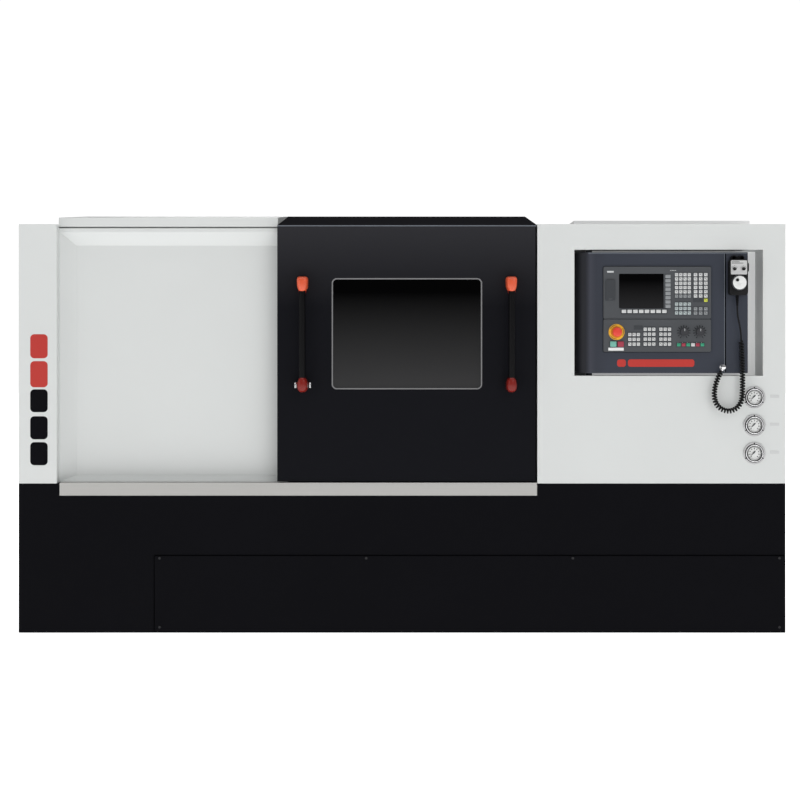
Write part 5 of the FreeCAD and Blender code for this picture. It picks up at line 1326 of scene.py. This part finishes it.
def louvre_bank(bm, x0, x1, z0, count):
    """Pressed louvres: each blade leans out over the slot below it."""
    for i in range(count):
        z = z0 + i * LOUVRE_PITCH
        blade = [
            (BACK - 0.001, z + 0.012), (BACK + 0.006, z), (BACK + 0.0045, z - 0.001),
            (BACK - 0.001, z + 0.0095),
        ]
        loops = [[Vector((x, y, height)) for y, height in blade] for x in (x0, x1)]
        rows = [[bm.verts.new(point) for point in loop] for loop in loops]
        for k in range(4):
            bm.faces.new((rows[0][k], rows[0][(k + 1) % 4], rows[1][(k + 1) % 4], rows[1][k]))
        bm.faces.new(rows[0][::-1])
        bm.faces.new(rows[1])


BACK_PANELS = (
    (-1.47, -0.755, 0.62, 1.57), (-0.735, -0.02, 0.62, 1.57), (0.0, 0.715, 0.62, 1.57),
    (0.760, 1.470, 0.615, 1.635),
)
LOUVRE_BANKS = (
    (-1.36, -0.865, 0.70, 10), (0.11, 0.605, 0.70, 10), (0.87, 1.36, 0.68, 8), (0.87, 1.36, 1.45, 6)
)


def back_details():
    seams = bmesh.new()
    blades = bmesh.new()
    slots = bmesh.new()
    screws = bmesh.new()
    for x0, x1, z0, z1 in BACK_PANELS:
        seam_ring(seams, x0, x1, z0, z1, BACK - 0.001, BACK + 0.0006)
        for x in (x0 + SCREW_INSET, x1 - SCREW_INSET):
            for share in SCREW_SHARES:
                add_turned(screws, (x, BACK, z0 + (z1 - z0) * share), SCREW_HEAD, 16)
    for x0, x1, z0, count in LOUVRE_BANKS:
        louvre_bank(blades, x0, x1, z0, count)
        for i in range(count):
            z = z0 + i * LOUVRE_PITCH
            add_box(slots, (x0 + 0.002, BACK - 0.001, z + 0.0005), (x1 - 0.002, BACK + 0.0005, z + 0.0085))
    finish_piece("back_panel_seams", seams, INK, "machine")
    finish_piece("back_louvres", blades, WHITE, "machine")
    finish_piece("back_louvre_slots", slots, INK, "machine")
    finish_piece("back_panel_screws", screws, ZINC, "machine", smooth=50)
    hinges = bmesh.new()
    for z in HINGE_BOTTOMS:
        pin = (HINGE_X, BACK + 0.006, z)
        add_frustum(hinges, pin, (HINGE_X, BACK + 0.006, z + 0.07), HINGE_PIN, 20)
        add_box(
            hinges, (HINGE_X + 0.004, BACK - 0.001, z + 0.004), (HINGE_X + 0.030, BACK + 0.003, z + 0.066)
        )
    finish_piece("cabinet_hinges", hinges, ZINC, "machine", 0.0006)
    at = centre("main_switch")
    plate = [rounded(at.x, at.z, 0.090, 0.090, 0.008, 5)]
    plates("switch_plate", plate, BACK - 0.001, BACK + 0.003, SIGNAL_YELLOW, "machine", 0.0008)


def front_seams():
    """A dark seam round the access panel, a painted highlight along the door's top edge and a painted shadow
    along its right edge.
    """
    low, high = corners("front_access_panel")
    bm = bmesh.new()
    seam_ring(bm, low.x, high.x - 0.0005, low.z, high.z, low.y - 0.0003, low.y + 0.001)
    finish_piece("access_panel_seam", bm, PRINT_AND_SHADOW_BLACK, "machine")
    edge = rectangle(
        DOOR_LOW.x + 0.001, DOOR_HIGH.x - 0.001, DOOR_HIGH.z - 0.0055, DOOR_HIGH.z - 0.0025, 0.001
    )
    side = rectangle(
        DOOR_HIGH.x - 0.0045, DOOR_HIGH.x - 0.0005, DOOR_LOW.z + 0.002, DOOR_HIGH.z - 0.008, 0.001
    )
    inlays("door_edge_highlight", [edge], DOOR_LOW.y, 0.0003, EDGE_HIGHLIGHT, "door")
    inlays("door_side_shadow", [side], DOOR_LOW.y, 0.0003, PRINT_AND_SHADOW_BLACK, "door")


def level_square(low, high, inset):
    """The corners of a level rectangle set in from the sides of a box."""
    x0, x1 = low[0] + inset, high[0] - inset
    y0, y1 = low[1] + inset, high[1] - inset
    return [(x0, y0), (x1, y0), (x1, y1), (x0, y1)]


def roof_seams():
    """One folded joint round the flat top of the electrical cabinet."""
    bm = bmesh.new()
    low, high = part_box("electrical_cabinet")
    top = high[2]
    inset = 0.05
    outer = level_square(low, high, inset)
    inner = level_square(low, high, inset + SEAM)
    add_ring(bm, outer, inner, top - 0.001, top + 0.0005, "Z")
    finish_piece("cabinet_top_seam", bm, INK, "machine")


back_details()
front_seams()
roof_seams()


# ---------------------------------------------------------------- floor, light and camera
FLOOR_SIZE = 60.0
CAMERA_DISTANCE = 6.0
CAMERA_HEIGHT = 1.12
PICTURE_CENTRE = (-0.008, 0.9135)
PICTURE_WIDTH = 3.12
SENSOR = 36.0


def stage():
    bm = bmesh.new()
    half = FLOOR_SIZE / 2
    corners = [(-half, -half), (half, -half), (half, half), (-half, half)]
    bm.faces.new([bm.verts.new((x, y, 0)) for x, y in corners])
    mesh = bpy.data.meshes.new("studio_floor")
    bm.to_mesh(mesh)
    bm.free()
    floor = bpy.data.objects.new("studio_floor", mesh)
    bpy.context.collection.objects.link(floor)
    mat, tree, shader = new_material("studio_white", (0.9, 0.9, 0.9), 0.9, specular=0.0)
    vector = object_coordinates(tree)
    vary_color(tree, shader, noise(tree, vector, 0.7), (0.9, 0.9, 0.9), 0.005)
    shader.inputs["Emission Color"].default_value = (1, 1, 1, 1)
    shader.inputs["Emission Strength"].default_value = 1.1
    mesh.materials.append(mat)


def soft_light(name, place, target, size, power):
    data = bpy.data.lights.new(name, "AREA")
    data.shape = "RECTANGLE"
    data.size, data.size_y = size
    data.energy = power
    lamp = bpy.data.objects.new(name, data)
    bpy.context.collection.objects.link(lamp)
    lamp.location = place
    lamp.rotation_euler = (Vector(target) - Vector(place)).to_track_quat("-Z", "Y").to_euler()
    lamp.visible_camera = False


def lights():
    world = bpy.data.worlds.new("studio")
    world.use_nodes = True
    tree = world.node_tree
    background = tree.nodes["Background"]
    camera_ray = tree.nodes.new("ShaderNodeLightPath")
    strength = tree.nodes.new("ShaderNodeMapRange")
    strength.inputs["To Min"].default_value = 0.25
    strength.inputs["To Max"].default_value = 1.05
    tree.links.new(camera_ray.outputs["Is Camera Ray"], strength.inputs["Value"])
    tree.links.new(strength.outputs["Result"], background.inputs["Strength"])
    background.inputs["Color"].default_value = (1, 1, 1, 1)
    bpy.context.scene.world = world
    soft_light("key", (3.6, -6.5, 5.0), (0, -0.4, 0.9), (4.0, 3.0), 78)
    soft_light("fill", (-5.0, -5.5, 2.6), (-0.2, -0.4, 0.9), (1.6, 3.2), 38)
    soft_light("top", (0.0, -1.5, 6.0), (0, -0.2, 0.8), (5.0, 3.0), 80)
    soft_light("rear", (0.0, 6.5, 4.5), (0, 0.6, 0.9), (5.0, 3.0), 90)


def camera():
    data = bpy.data.cameras.new("camera")
    data.sensor_width = SENSOR
    data.lens = SENSOR * CAMERA_DISTANCE / PICTURE_WIDTH
    data.shift_y = (PICTURE_CENTRE[1] - CAMERA_HEIGHT) / PICTURE_WIDTH
    data.clip_end = 100.0
    eye = bpy.data.objects.new("camera", data)
    bpy.context.collection.objects.link(eye)
    eye.location = (PICTURE_CENTRE[0], FRONT - CAMERA_DISTANCE, CAMERA_HEIGHT)
    eye.rotation_euler = (math.radians(90), 0, 0)
    bpy.context.scene.camera = eye


stage()
lights()
camera()
bpy.context.scene.view_settings.view_transform = "Standard"
